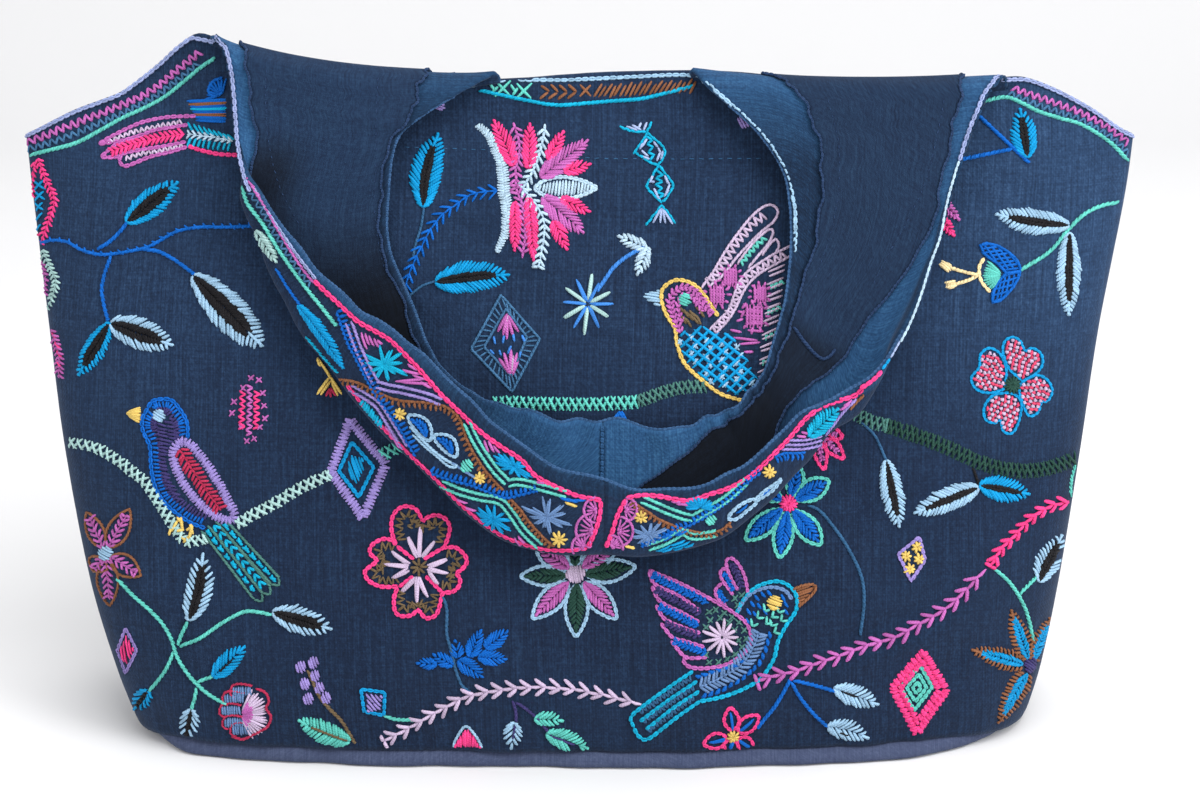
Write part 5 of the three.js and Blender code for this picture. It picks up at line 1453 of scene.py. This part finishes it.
for q_ in PETALS:
    chain(body, q_, "teal_blue", 5.2, 3.2, 0.35, True)
    mid_ = np.mean(q_, axis=0)
    small_ = mid_ + (np.array(q_) - mid_) * 0.9
    out_ = math.degrees(math.atan2(mid_[1] - 385, mid_[0] - 1012))
    for j_, (a_, b_) in enumerate(inside(small_, out_ + 90, 4.3)):
        n_ = np.linalg.norm(b_ - a_)
        d_ = (b_ - a_) / max(n_, 1e-6)
        s_ = np.arange((j_ % 2) * 3.3, n_ - 2.0, 6.6)[:, None]
        if len(s_):
            straight(body, "pale_pink", a_ + d_ * s_, a_ + d_ * (s_ + 3.0), 0.74, 3, 0.2, 0.3)
        s_ = np.arange(3.3 - (j_ % 2) * 3.3, n_ - 2.0, 6.6)[:, None]
        if len(s_):
            w_ = np.array([-d_[1], d_[0]])
            straight(body, "rose", a_ + d_ * (s_ + 1.6) - w_ * 2.3, a_ + d_ * (s_ + 1.6) + w_ * 2.3, 0.58, 3, 0, 0.3)
rays(body, (1012, 385), 0.5, 9, 13, "dark_green", r=0.5, up=0.2)

# ---- inside the loop of the handle: lotus flower with leaves
leaf(body, (423, 207), (438, 134), 31, "teal_blue", "black", 4, 2.5, 0.26)
leaf(body, (435, 282), (509, 275), 31, "teal_blue", "black", 2, 2.5, 0.24)
stem(body, [(424, 207), (421, 227), (416, 243), (413, 257)], "deep_slate", 8, 4, 1.4, 0.4)
stem(body, [(409, 296), (422, 286), (436, 281)], "deep_slate", 8, 4, 1.4, 0.4)
fern(body, [(497, 191), (484, 192), (468, 196), (458, 203), (444, 213), (434, 224), (425, 239), (415, 260), (407, 280), (405, 292)], 14, 10.0, "royal", 0.85, 0.44)
CRESCENT = [(477, 125), (487, 133), (494, 145), (500, 159), (503, 175), (504, 192), (507, 211), (505, 232), (497, 251)]
L_ = Line(CRESCENT)
s_ = np.arange(0, L_.length, 2.6)
w_ = 6.3 * np.sin(np.pi * np.clip(s_ / L_.length * 0.9 + 0.06, 0, 1)) ** 0.5
straight(body, "white_blue", L_.at(s_, -w_), L_.at(s_ + 2.6, w_ * 0.5), 0.52, 3)
straight(body, "white_blue", L_.at(s_ + 1.3, w_), L_.at(s_ + 3.6, -w_ * 0.4), 0.52, 3, 0.25)
fern(body, [(516, 186), (516, 171), (520, 149), (517, 135), (513, 122)], 13, 6.6, "orchid", -0.8, 0.5)
fern(body, [(516, 188), (522, 204), (525, 221), (525, 239), (522, 258)], 13, 6.6, "orchid", -0.8, 0.5)
fern(body, [(523, 188), (533, 171), (541, 149), (545, 124)], 13, 7.0, "white_blue", -0.85, 0.52)
fern(body, [(523, 190), (536, 205), (544, 221), (543, 243), (538, 268)], 13, 7.0, "white_blue", 0.85, 0.52)
for a_, b_, w_ in (((514, 165), (494, 120), 19), ((529, 168), (530, 123), 16), ((548, 159), (564, 131), 14), ((564, 171), (591, 164), 14),
                   ((515, 202), (515, 251), 13), ((529, 198), (534, 261), 14), ((554, 221), (567, 250), 15), ((561, 199), (590, 212), 14)):
    leaf(body, a_, b_, w_, "pink", None, 0, 2.6, 0, 1.2, 0.8, 0.47)
leaf(body, (541, 177), (588, 140), 21, "orchid", None, 0, 2.6, 0, 1.2, 0.8, 0.47)
leaf(body, (543, 197), (584, 233), 22, "orchid", None, 0, 2.6, 0, 1.2, 0.8, 0.47)
outline_leaf(body, (534, 188), (597, 188), 22, "white_blue", chain, link=5.4, w=5.0, r=0.46)
L_ = Line([(538, 188), (592, 188)])
s_ = np.arange(1, L_.length, 3.2)
h_ = 8.0 * np.sin(np.pi * (s_ / L_.length * 0.86 + 0.08)) ** 0.7
straight(body, "white_blue", L_.at(s_, -h_), L_.at(s_ + 2.0, h_), 0.46)
# garland
for ctrl_ in ([(620, 126), (628, 131), (646, 132)], [(651, 122), (647, 132)], [(647, 133), (667, 150), (659, 166), (634, 153), (647, 133)],
              [(659, 166), (675, 185), (663, 204), (645, 186), (659, 166)], [(662, 205), (646, 225)], [(662, 205), (676, 224)]):
    L_ = Line(ctrl_, sharp=True)
    s_ = np.arange(0, L_.length - 2, 5.5)
    straight(body, "turquoise", L_.at(s_), L_.at(s_ + 7.0), 0.52, 3, 0, 0.5)
zigzag(body, [(649, 136), (650, 146), (652, 160)], 6, 8, "turquoise", 0.44)
zigzag(body, [(660, 171), (659, 184), (661, 199)], 7, 7, "turquoise", 0.44)
straight(body, "pale_slate", [(626, 126), (632, 126), (641, 123), (647, 122), (647, 138), (644, 143), (641, 150), (643, 156), (654, 141), (658, 147), (660, 152), (663, 150), (653, 175), (651, 182), (654, 188), (656, 194), (664, 175), (667, 181), (670, 184), (669, 190), (661, 208), (661, 208), (662, 208), (663, 208)],
         [(638, 130), (641, 130), (638, 129), (643, 131), (642, 147), (640, 149), (648, 156), (650, 159), (658, 147), (661, 154), (657, 161), (660, 160), (650, 183), (655, 182), (658, 196), (660, 200), (669, 184), (669, 184), (666, 194), (664, 197), (653, 223), (660, 223), (665, 223), (672, 224)], 0.44)
# ladder diamond
OUT_ = [(501, 295), (540, 339), (512, 392), (471, 349)]
IN_ = [(506, 309), (527, 337), (511, 376), (484, 347)]
for q_ in (OUT_, IN_):
    stem(body, q_, "slate_line", 8, 4.4, 1.4, 0.42, True, True)
A_, B_ = Line(OUT_, True, True), Line(IN_, True, True)
s_ = np.arange(0.0, 1.0, 1 / 36)
straight(body, "slate_line", A_.at(s_ * A_.length), B_.at(s_ * B_.length), 0.38, 3)
straight(body, "orchid", [(507, 314)] * 5 + [(511, 376)] * 5, [(498, 331), (503, 335), (507, 339), (513, 336), (519, 332), (499, 358), (504, 353), (511, 349), (517, 352), (518, 360)], 0.62)
straight(body, "pale_pink", [(508, 315), (512, 375)], [(505, 332), (513, 356)], 0.44, 4, 0.3)
straight(body, "cornflower", [(494, 336), (504, 335), (513, 334), (522, 335), (490, 350), (499, 350), (511, 346), (521, 350)], [(495, 344), (503, 343), (515, 341), (525, 342), (494, 355), (501, 356), (508, 354), (519, 358)], 0.46)
# star flower with its twig
for t_ in ((592, 274), (566, 288), (564, 318), (584, 335), (608, 317), (610, 292)):
    t_, c_ = np.array(t_, float), np.array((588, 304.0))
    n_ = np.array([-(t_ - c_)[1], (t_ - c_)[0]]) / np.linalg.norm(t_ - c_)
    straight(body, "pale_mint", [c_ + (t_ - c_) * 0.12 + n_ * 0.6, c_ + (t_ - c_) * 0.12 - n_ * 0.6, c_ + (t_ - c_) * 0.12], [t_ + n_ * 0.4, t_ - n_ * 0.4, t_], 0.55)
for t_ in ((577, 280), (563, 302), (574, 328), (599, 328), (613, 304), (599, 283)):
    t_, c_ = np.array(t_, float), np.array((588, 304.0))
    straight(body, "cornflower", [c_ + (t_ - c_) * 0.1 + (0.8, 0.4), c_ + (t_ - c_) * 0.1 - (0.8, 0.4)], [t_, t_], 0.52)
stem(body, [(597, 291), (606, 278), (614, 267), (629, 255), (643, 248)], "cornflower", 9, 4.4, 2.8, 0.55)
leaf(body, (646, 248), (618, 236), 14, "white_blue", None, 0, 2.8, 0, 1.0)
leaf(body, (648, 248), (637, 275), 14, "white_blue", None, 0, 2.8, 0, 1.0)

# ---- flying bird and its branch
herring(body, [(492, 403), (520, 403), (560, 404), (600, 404), (637, 402)], 13.5, 7.0, "mint", 0.5)
herring(body, [(637, 402), (656, 395), (679, 388), (706, 386)], 13, 6.0, "slate_green", 0.46)
straight(body, "royal", [(610, 424), (613, 424), (619, 412), (621, 411), (613, 419)], [(619, 412), (621, 411), (625, 423), (627, 422), (623, 418)], 0.55)
# body lattice
LATTICE = [(680, 332), (693, 330), (703, 326), (716, 331), (731, 334), (739, 348), (750, 364), (758, 380), (752, 393), (735, 395), (721, 389), (703, 378), (686, 362), (680, 346)]
for ang_ in (38, -44):
    for a_, b_ in inside(LATTICE, ang_, 8.0):
        straight(body, "teal_blue", [a_], [b_], 0.56, 5, 0.0)
for r_ in range(9):
    for k_ in range(12):
        p_ = np.array((676 + 7.6 * k_ + 4.0 * (r_ % 2), 334 + 8.2 * r_ + 1.6 * k_))
        c_ = False
        for i_ in range(len(LATTICE)):
            (x0_, y0_), (x1_, y1_) = LATTICE[i_], LATTICE[(i_ + 1) % len(LATTICE)]
            if (y0_ > p_[1]) != (y1_ > p_[1]) and p_[0] < x0_ + (p_[1] - y0_) / (y1_ - y0_) * (x1_ - x0_):
                c_ = not c_
        if c_ and k_ % 2 == 0:
            crosses(body, [p_], 5.4, "light_blue", 0.42, 0.3)
            straight(body, "light_blue", [p_ - (0, 3.0)], [p_ + (0, 3.0)], 0.4, 3, 0.45)
chain(body, [(661, 300), (663, 288), (676, 280), (691, 283), (702, 292), (710, 304), (718, 316)], "yellow", 6.4, 5, 0.46)
chain(body, [(661, 300), (666, 314), (675, 329), (677, 344), (685, 364), (703, 381), (721, 394), (743, 401)], "yellow", 6.4, 5, 0.46)
fill(body, [(642, 295), (650, 292), (660, 290), (661, 306), (649, 302)], "light_blue", 8, 2.2, 40)
fern(body, [(681, 332), (672, 312), (670, 298), (680, 288), (693, 289), (703, 302), (712, 314)], 8, 5.0, "orchid", 0.9, 0.48)
fern(body, [(682, 322), (678, 306), (684, 295), (694, 298), (702, 312)], 6, 5.0, "orchid", 0.9, 0.44)
for k_ in range(13):
    p_ = np.array((680 + 3.2 * (k_ % 7), 307 + 2.1 * (k_ % 5) + 3.5 * (k_ // 7)))
    straight(body, "olive", [p_], [p_ + (5 + k_ % 3, 6 + (k_ * 2) % 5)], 0.46)
disc(body, (684.5, 299.5), 6.4, 6.4, "mint", 20, 0.5, 0.4)
FEATHER = [(701, 288), (713, 272), (726, 250), (738, 233), (751, 217), (763, 207), (772, 205), (778, 211), (774, 221), (761, 232), (748, 245), (736, 258), (722, 276), (709, 286)]
stem(body, FEATHER, "pale_pink", 8, 4.2, 1.6, 0.4)
zigzag(body, [(707, 284), (719, 270), (731, 251), (744, 234), (757, 220), (770, 212)], 9.5, 7.0, "pale_pink", 0.46)
stem(body, [(737, 264), (748, 249), (759, 237), (770, 229), (773, 233), (768, 244), (757, 257), (748, 268)], "pale_pink", 8, 4.2, 1.6, 0.4)
zigzag(body, [(741, 264), (752, 250), (768, 235)], 6, 6, "mint", 0.46)
stem(body, [(762, 255), (770, 244), (776, 239), (779, 246), (775, 254)], "pale_pink", 8, 4.2, 1.6, 0.4)
stem(body, [(709, 330), (720, 319), (729, 309), (734, 295), (739, 282), (748, 271), (758, 264), (774, 254), (790, 246)], "pale_pink", 8, 4.2, 1.6, 0.4)
stem(body, [(716, 333), (728, 320), (736, 307), (742, 294), (749, 283), (760, 273), (772, 266), (790, 256)], "pale_pink", 8, 4.2, 1.6, 0.4)
zigzag(body, [(713, 331), (725, 318), (733, 306), (739, 291), (746, 279), (757, 270), (772, 261), (790, 251)], 8, 6.8, "pale_pink", 0.46)
for x_, y_, h_ in ((730, 277, 7.5), (717, 295, 8), (760, 294, 7), (754, 316, 9.5)):
    fill(body, [(x_ - h_, y_ - h_ * 0.9), (x_ + h_ * 0.9, y_ - h_), (x_ + h_, y_ + h_ * 0.9), (x_ - h_ * 0.9, y_ + h_)], "orchid", 4, 2.3, 40, 0.5)
    s_ = np.linspace(-0.75, 0.75, 5)
    straight(body, "orchid", np.stack([x_ + s_ * h_, 0 * s_ + y_ - h_ * 1.25], 1), np.stack([x_ + s_ * h_, 0 * s_ + y_ + h_ * 1.25], 1), 0.42, 4, 0.35)
    rays(body, (x_, y_), h_ * 1.25, h_ * 1.8, 11, "orchid", r=0.46)
straight(body, "orchid", [(730, 330), (733, 338), (739, 345), (744, 352), (748, 330), (746, 303), (744, 310)], [(741, 332), (758, 340), (760, 342), (753, 352), (763, 332), (742, 308), (741, 318)], 0.48)
for k_ in range(9):
    x_, y_ = 777 - 1.3 * k_, 268 + 12.6 * k_
    straight(body, "pale_pink", [(x_ - 9, y_ + 4), (x_ - 8, y_ + 8)], [(x_ + 8, y_ - 3), (x_ + 8, y_ + 2)], 0.44)
    if k_ % 2:
        zigzag(body, [(x_ - 6, y_ + 7), (x_ + 8, y_ + 1)], 5, 5, "mint", 0.44)
fill(body, [(432, 106), (440, 102), (448, 107), (441, 111)], "lilac", 20, 2.4, 20)
fill(body, [(737, 118), (744, 116), (750, 127), (741, 129)], "lilac", 60, 2.4, 20)

# ---- blue flower with mint outlines, partly under the handle
for t_, w_ in (((799, 466), 17), ((829, 480), 21), ((821, 545), 21), ((779.5, 558), 19), ((745, 540), 20), ((764, 490), 13)):
    t_ = np.array(t_, float)
    b_ = np.array((788, 503.5)) + (t_ - (788, 503.5)) / np.linalg.norm(t_ - (788, 503.5)) * 8
    leaf(body, b_, b_ + (t_ - b_) * 0.9, w_ * 0.76, "royal", None, 0, 2.5, 0, 1.1, 1.05, 0.5, blunt=0.8)
    outline_leaf(body, b_, t_, w_, "mint", chain, 0, 1.05, 0.8, link=6, w=4.6, r=0.44)
rays(body, (788, 503.5), 0.5, 9.5, 14, "pink", r=0.52, up=0.4)


# ---- geometric band on the outside of the handle
def double(ctrl, col, apart=6.0):
    L = Line(ctrl)
    s = np.linspace(0, L.length, 14)
    for g in (-apart / 2, apart / 2):
        stem(strap, L.at(s, g * np.ones(14)), col, 8.5, 4.3, 1.8, 0.46)


def star(centre, tips, col, r=0.46):
    c = np.array(centre, float)
    for q in np.array(tips, float):
        side = np.array([-(q - c)[1], (q - c)[0]]) / max(np.hypot(*(q - c)), 1e-6)
        straight(strap, col, [c + side * 0.9, c - side * 0.9], [q + side * 0.3, c + (q - c) * 0.9 - side * 0.9], r, up=0.12)


chain(strap, [(314, 280), (325, 291), (337, 302), (349, 313), (361, 323), (386, 337), (402, 351), (422, 372), (441, 394), (459, 411), (480, 431), (502, 447), (522, 460), (535, 475), (551, 484), (576, 495), (601, 500)],
      "pink", 7.6, 6.0, 0.52)
chain(strap, [(347, 384), (363, 404), (382, 426), (398, 442), (414, 458), (431, 474), (447, 490), (463, 506), (484, 523), (504, 536), (525, 544), (545, 549), (567, 550), (587, 548)], "pink", 7.2, 4.4, 0.46)
chain(strap, [(601, 501), (600, 514), (596, 529), (588, 547)], "pink", 7.2, 5.4, 0.5)
blanket(strap, [(337, 312), (347, 341), (361, 368), (375, 394), (396, 423), (408, 443), (416, 457)], 8, 5.0, "royal", 0.62)
blanket(strap, [(431, 473), (447, 479), (473, 486), (496, 495), (506, 498), (524, 494), (539, 490)], 7, 5.0, "royal", 0.64)
straight(strap, "royal", [(560, 497), (566, 499), (572, 500)], [(572, 501), (578, 502), (586, 500)], 0.5)
double([(349, 322), (358, 347), (367, 366), (376, 383)], "lilac")
double([(376, 384), (390, 388), (402, 390), (426, 396), (441, 402)], "lilac")
straight(strap, "orchid", [(361, 332), (365, 333), (369, 336), (373, 338), (377, 340), (395, 381), (400, 382), (403, 370), (408, 364), (412, 375), (420, 381)],
         [(367, 349), (370, 346), (374, 346), (379, 347), (382, 344), (428, 378), (430, 384), (421, 374), (418, 371), (427, 380), (432, 388)], 0.5)
star((385, 364), [(365, 355), (380, 345), (392, 350), (404, 352), (402, 363), (408, 375), (396, 374), (388, 381), (376, 379), (370, 372), (365, 363)], "turquoise")
blanket(strap, [(338, 379), (357, 382), (382, 394), (398, 400), (422, 402), (441, 405), (453, 411), (461, 421), (467, 439), (477, 458), (490, 476), (504, 491)], -7, 5.4, "brown", 0.58)
blanket(strap, [(511, 499), (520, 509), (529, 521), (545, 539), (556, 547)], -6, 4.6, "brown", 0.58)
double([(467, 422), (477, 443), (493, 467), (507, 482)], "mint")
double([(508, 483), (520, 482), (541, 487), (566, 494)], "mint")
straight(strap, "orchid", [(484, 440), (488, 441), (493, 446), (536, 482)], [(489, 453), (494, 452), (500, 453), (546, 483)], 0.5)
star((514, 466), [(494, 457), (498, 454), (503, 453), (511, 454), (521, 461), (527, 466), (533, 477), (529, 479), (521, 477), (510, 474), (501, 469), (495, 463)], "teal_blue")
double([(441, 483), (459, 491), (480, 497), (500, 501), (512, 514), (524, 531), (540, 546)], "mint")
straight(strap, "orchid", [(456, 499), (464, 507), (518, 536), (514, 538)], [(468, 503), (477, 511), (526, 543), (522, 545)], 0.5)
star((494, 519), [(478, 508), (486, 505), (495, 505), (504, 513), (512, 520), (511, 530), (503, 534), (493, 532), (484, 526), (478, 520), (476, 513)], "teal_blue")
double([(350, 387), (364, 395), (378, 405), (390, 423), (405, 447)], "lilac", 5.4)
for k_ in range(9):
    straight(strap, "turquoise", [(364 + 2.0 * k_, 401 + 2.6 * k_)], [(361 + 2.2 * k_, 405 + 2.5 * k_)], 0.6)
    straight(strap, "turquoise", [(366 + 2.0 * k_, 401 + 2.6 * k_)], [(366 + 2.0 * k_, 409 + 2.4 * k_)], 0.55)
straight(strap, "orchid", [(385, 426), (389, 431), (394, 437)], [(393, 434), (398, 442), (401, 448)], 0.5)
# sprig in the first diamond
for b_, t_, k_ in (((431, 441), (408, 415), -3.5), ((457, 457), (434, 435), -3.5)):
    outline_leaf(strap, b_, t_, 15, "light_blue", chain, k_, 1.0, 0.7, link=5.0, w=3.8, r=0.38)
    leaf(strap, np.array(b_) + (np.array(t_) - b_) * 0.2, np.array(b_) + (np.array(t_) - b_) * 0.85, 8, "royal", None, k_, 2.1, 0, 0.9, 0.95, 0.48)
stem(strap, [(410, 426), (421, 438), (433, 450), (445, 459), (457, 466)], "light_blue", 8, 4, 1.8, 0.42)
stem(strap, [(413, 434), (425, 446), (437, 456), (449, 466), (458, 467)], "light_blue", 8, 4, 1.8, 0.42)
stem(strap, [(452, 462), (463, 470), (476, 478)], "slate", 7, 4, 1.4, 0.4)
disc(strap, (467, 466), 6, 6.5, "mint", 50, 0.5, 0.2)
rays(strap, (400, 414), 0.5, 6.5, 8, "yellow", r=0.5)
rays(strap, (480, 478), 0.5, 6.5, 8, "yellow", r=0.5)
star((547, 517), [(542, 496), (550, 499), (563, 505), (566, 513), (572, 525), (562, 527), (550, 534), (543, 528), (534, 524), (530, 517), (521, 507), (532, 508)], "slate", 0.42)
rays(strap, (559, 539), 0.5, 8, 8, "yellow", r=0.52)
straight(strap, "yellow", [(565, 502), (568, 504)], [(575, 505), (577, 507)], 0.5)
for c_, r_, a0_, a1_ in (((597, 510), 13, 95, 262), ((593, 530), 17, 95, 262), ((585, 547), 13, 150, 275)):
    rays(strap, c_, 3, r_ * 0.86, 7, "orchid", a0_ + 8, a1_ - 8, 0.36)
    t_ = np.radians(np.linspace(a0_, a1_, 9))
    stem(strap, np.array(c_) + np.stack([np.cos(t_), np.sin(t_)], 1) * r_, "orchid", 6.5, 3.4, 1.6, 0.4)
    rays(strap, c_, 0.5, 4, 5, "orchid", a0_ + 8, a1_ - 8, 0.42, up=0.2)
# the upper end of the band
leaf(strap, (299, 305), (344, 368), 13, "teal_blue", None, 2, 2.6, 0, 1.3)
stem(strap, [(306, 336), (322, 355), (338, 373)], "turquoise", 8, 4.4, 1.6, 0.4)
stem(strap, [(276, 268), (288, 288), (301, 306)], "royal", 8, 4.4, 1.8, 0.44)
leaf(strap, (257, 231), (277, 262), 11, "pale_mint", None, 0, 2.6, 0, 1.2)

# ---- the same band on the right half
chain(strap, [(626, 498), (641, 495), (659, 496), (675, 499), (691, 500), (709, 494), (728, 488), (748, 477), (762, 465), (774, 453), (788, 439), (803, 421), (819, 408), (837, 401), (855, 395), (865, 385), (873, 374), (882, 365)],
      "pink", 7.6, 6.0, 0.52)
chain(strap, [(626, 499), (618, 514), (612, 532), (606, 547)], "pink", 7.2, 5.4, 0.5)
for c_, r_, a0_, a1_ in (((625, 509), 12, -85, 85), ((618, 531), 15, -85, 80), ((611, 547), 12, -95, 10)):
    rays(strap, c_, 3, r_ * 0.86, 7, "orchid", a0_ + 8, a1_ - 8, 0.36)
    t_ = np.radians(np.linspace(a0_, a1_, 9))
    stem(strap, np.array(c_) + np.stack([np.cos(t_), np.sin(t_)], 1) * r_, "orchid", 6.5, 3.4, 1.6, 0.4)
    rays(strap, c_, 0.5, 4, 5, "orchid", a0_ + 8, a1_ - 8, 0.42, up=0.2)
blanket(strap, [(632, 501), (645, 510), (659, 519), (675, 526), (693, 531), (709, 533), (722, 529), (731, 521)], -6, 4.8, "brown", 0.58)
double([(642, 499), (655, 505), (669, 511), (683, 516), (692, 518)], "mint")
double([(693, 518), (709, 509), (724, 500), (736, 490), (746, 481)], "mint")
rays(strap, (700, 507), 1, 15, 12, "teal_blue", 170, 370, 0.6, 0.7, 0.1, 0.15)
straight(strap, "orchid", [(672, 501), (676, 503), (680, 504)], [(682, 502), (687, 504), (690, 505)], 0.5)
blanket(strap, [(760, 472), (748, 482), (736, 495), (716, 510), (701, 519), (685, 527), (669, 533), (655, 541), (641, 546)], -6, 4.8, "royal", 0.62)
double([(648, 547), (661, 543), (675, 536), (683, 531), (691, 536), (705, 535), (716, 533)], "mint", 5.4)
fill(strap, [(654, 550), (668, 546), (684, 540), (695, 543), (683, 547), (664, 552)], "teal_blue", -18, 2.0, 16, 0.5)
fill(strap, [(657, 542), (668, 534), (682, 528), (689, 529), (676, 536), (664, 541)], "royal", -30, 2.0, 16, 0.5)
star((649, 535), [(651, 523), (662, 520), (668, 528), (663, 537), (655, 544), (646, 547), (638, 544), (631, 537), (632, 529), (641, 526)], "slate", 0.42)
rays(strap, (641, 517), 0.5, 7, 8, "yellow", r=0.5)
straight(strap, "yellow", [(624, 546), (627, 545)], [(634, 547), (635, 548)], 0.5)
chain(strap, [(728, 517), (738, 506), (752, 499), (756, 502), (747, 510), (735, 519)], "light_blue", 6, 4.4, 0.46, True)
fill(strap, [(735, 513), (746, 504), (749, 505), (738, 515)], "royal", -38, 2.2, 30, 0.5)
chain(strap, [(755, 500), (764, 491), (777, 482), (781, 478), (774, 488), (762, 497)], "light_blue", 6, 4.2, 0.46, True)
fill(strap, [(760, 496), (768, 489), (772, 488), (764, 495)], "royal", -38, 2.2, 30, 0.5)
disc(strap, (711, 520), 5, 5, "mint", 50, 0.5, 0.2)
rays(strap, (769, 472), 0.5, 7, 8, "yellow", r=0.5)
blanket(strap, [(775, 456), (785, 453), (796, 453), (806, 452)], -8, 4.4, "royal", 0.52)
for k_ in range(3):
    stem(strap, [(788 - 3 * k_, 440 + 4.6 * k_), (804, 440 + 4.4 * k_), (821, 436 + 4.4 * k_)], "lilac", 8, 4.2, 1.6, 0.42)
leaf(strap, (809, 436), (838, 408), 19, "turquoise", None, 0, 2.4, 0, 0.8)
straight(strap, "orchid", [(797, 436), (801, 433), (840, 410), (844, 406)], [(806, 437), (808, 434), (850, 402), (852, 400)], 0.5)
stem(strap, [(856, 399), (844, 411), (833, 425), (825, 435)], "lilac", 8, 4, 1.6, 0.42)
stem(strap, [(864, 395), (858, 400), (850, 409)], "brown", 8, 4, 1.6, 0.42)

# ---- running stitches that hold the dark lining
running(lined, [(266, 70), (266, 110), (270, 150), (281, 190), (302, 230)], "navy", 3.4, 4.4, 0.2)
running(lined, [(378, 78), (376, 120), (376, 160), (374, 200), (378, 240), (386, 275)], "navy", 3.4, 4.4, 0.2)
running(lined, [(828, 100), (838, 140), (839, 180), (834, 220), (822, 260), (810, 292)], "navy", 3.4, 4.4, 0.2)
running(lined, [(944, 100), (936, 140), (926, 180), (908, 220), (888, 255), (870, 290)], "navy", 3.4, 4.4, 0.2)

build_threads()

# ------------------------------------------------------------------ floor, light
floor_mat = Nodes("pale_floor")
floor_mat.b.inputs["Base Color"].default_value = (0.76, 0.76, 0.77, 1)
floor_mat.b.inputs["Roughness"].default_value = 0.9
floor_mat.b.inputs["Specular IOR Level"].default_value = 0.1
prof = [(-3.0, 0.0), (1.2, 0.0)] + [(1.2 + 0.8 * math.sin(a), 0.8 - 0.8 * math.cos(a)) for a in np.linspace(0.1, math.pi / 2, 14)] + [(2.0, 3.2)]
fv = np.array([(x, y, z) for y, z in prof for x in (-4.0, 4.0)]) / MM + MIDDLE
ff = np.array([(2 * i, 2 * i + 1, 2 * i + 3, 2 * i + 2) for i in range(len(prof) - 1)])
floor = make_object("floor", fv, ff, [floor_mat.mat])


def area_light(name, where, aim, size, power, color=(1, 1, 1)):
    d = bpy.data.lights.new(name, "AREA")
    d.shape, d.size, d.size_y = "RECTANGLE", size[0], size[1]
    d.energy, d.color = power, color
    o = bpy.data.objects.new(name, d)
    o.location = where
    o.rotation_euler = (Vector(aim) - Vector(where)).to_track_quat("-Z", "Y").to_euler()
    bpy.context.scene.collection.objects.link(o)
    return o


world = bpy.data.worlds.new("studio")
bpy.context.scene.world = world
world.use_nodes = True
world.node_tree.nodes["Background"].inputs["Color"].default_value = (1.0, 1.0, 1.0, 1)
world.node_tree.nodes["Background"].inputs["Strength"].default_value = 0.55
area_light("key", (0.55, -1.0, 1.9), (0, 0, 0.12), (1.5, 1.2), 28)
area_light("fill", (-1.3, -1.2, 1.0), (0, 0, 0.15), (1.2, 1.2), 12)
area_light("side", (1.45, -1.0, 0.9), (0.15, 0, 0.2), (0.9, 1.2), 24)
area_light("top", (0.1, 0.5, 2.0), (0, 0, 0.2), (2.0, 1.4), 16)
bpy.context.scene.view_settings.view_transform = "Standard"
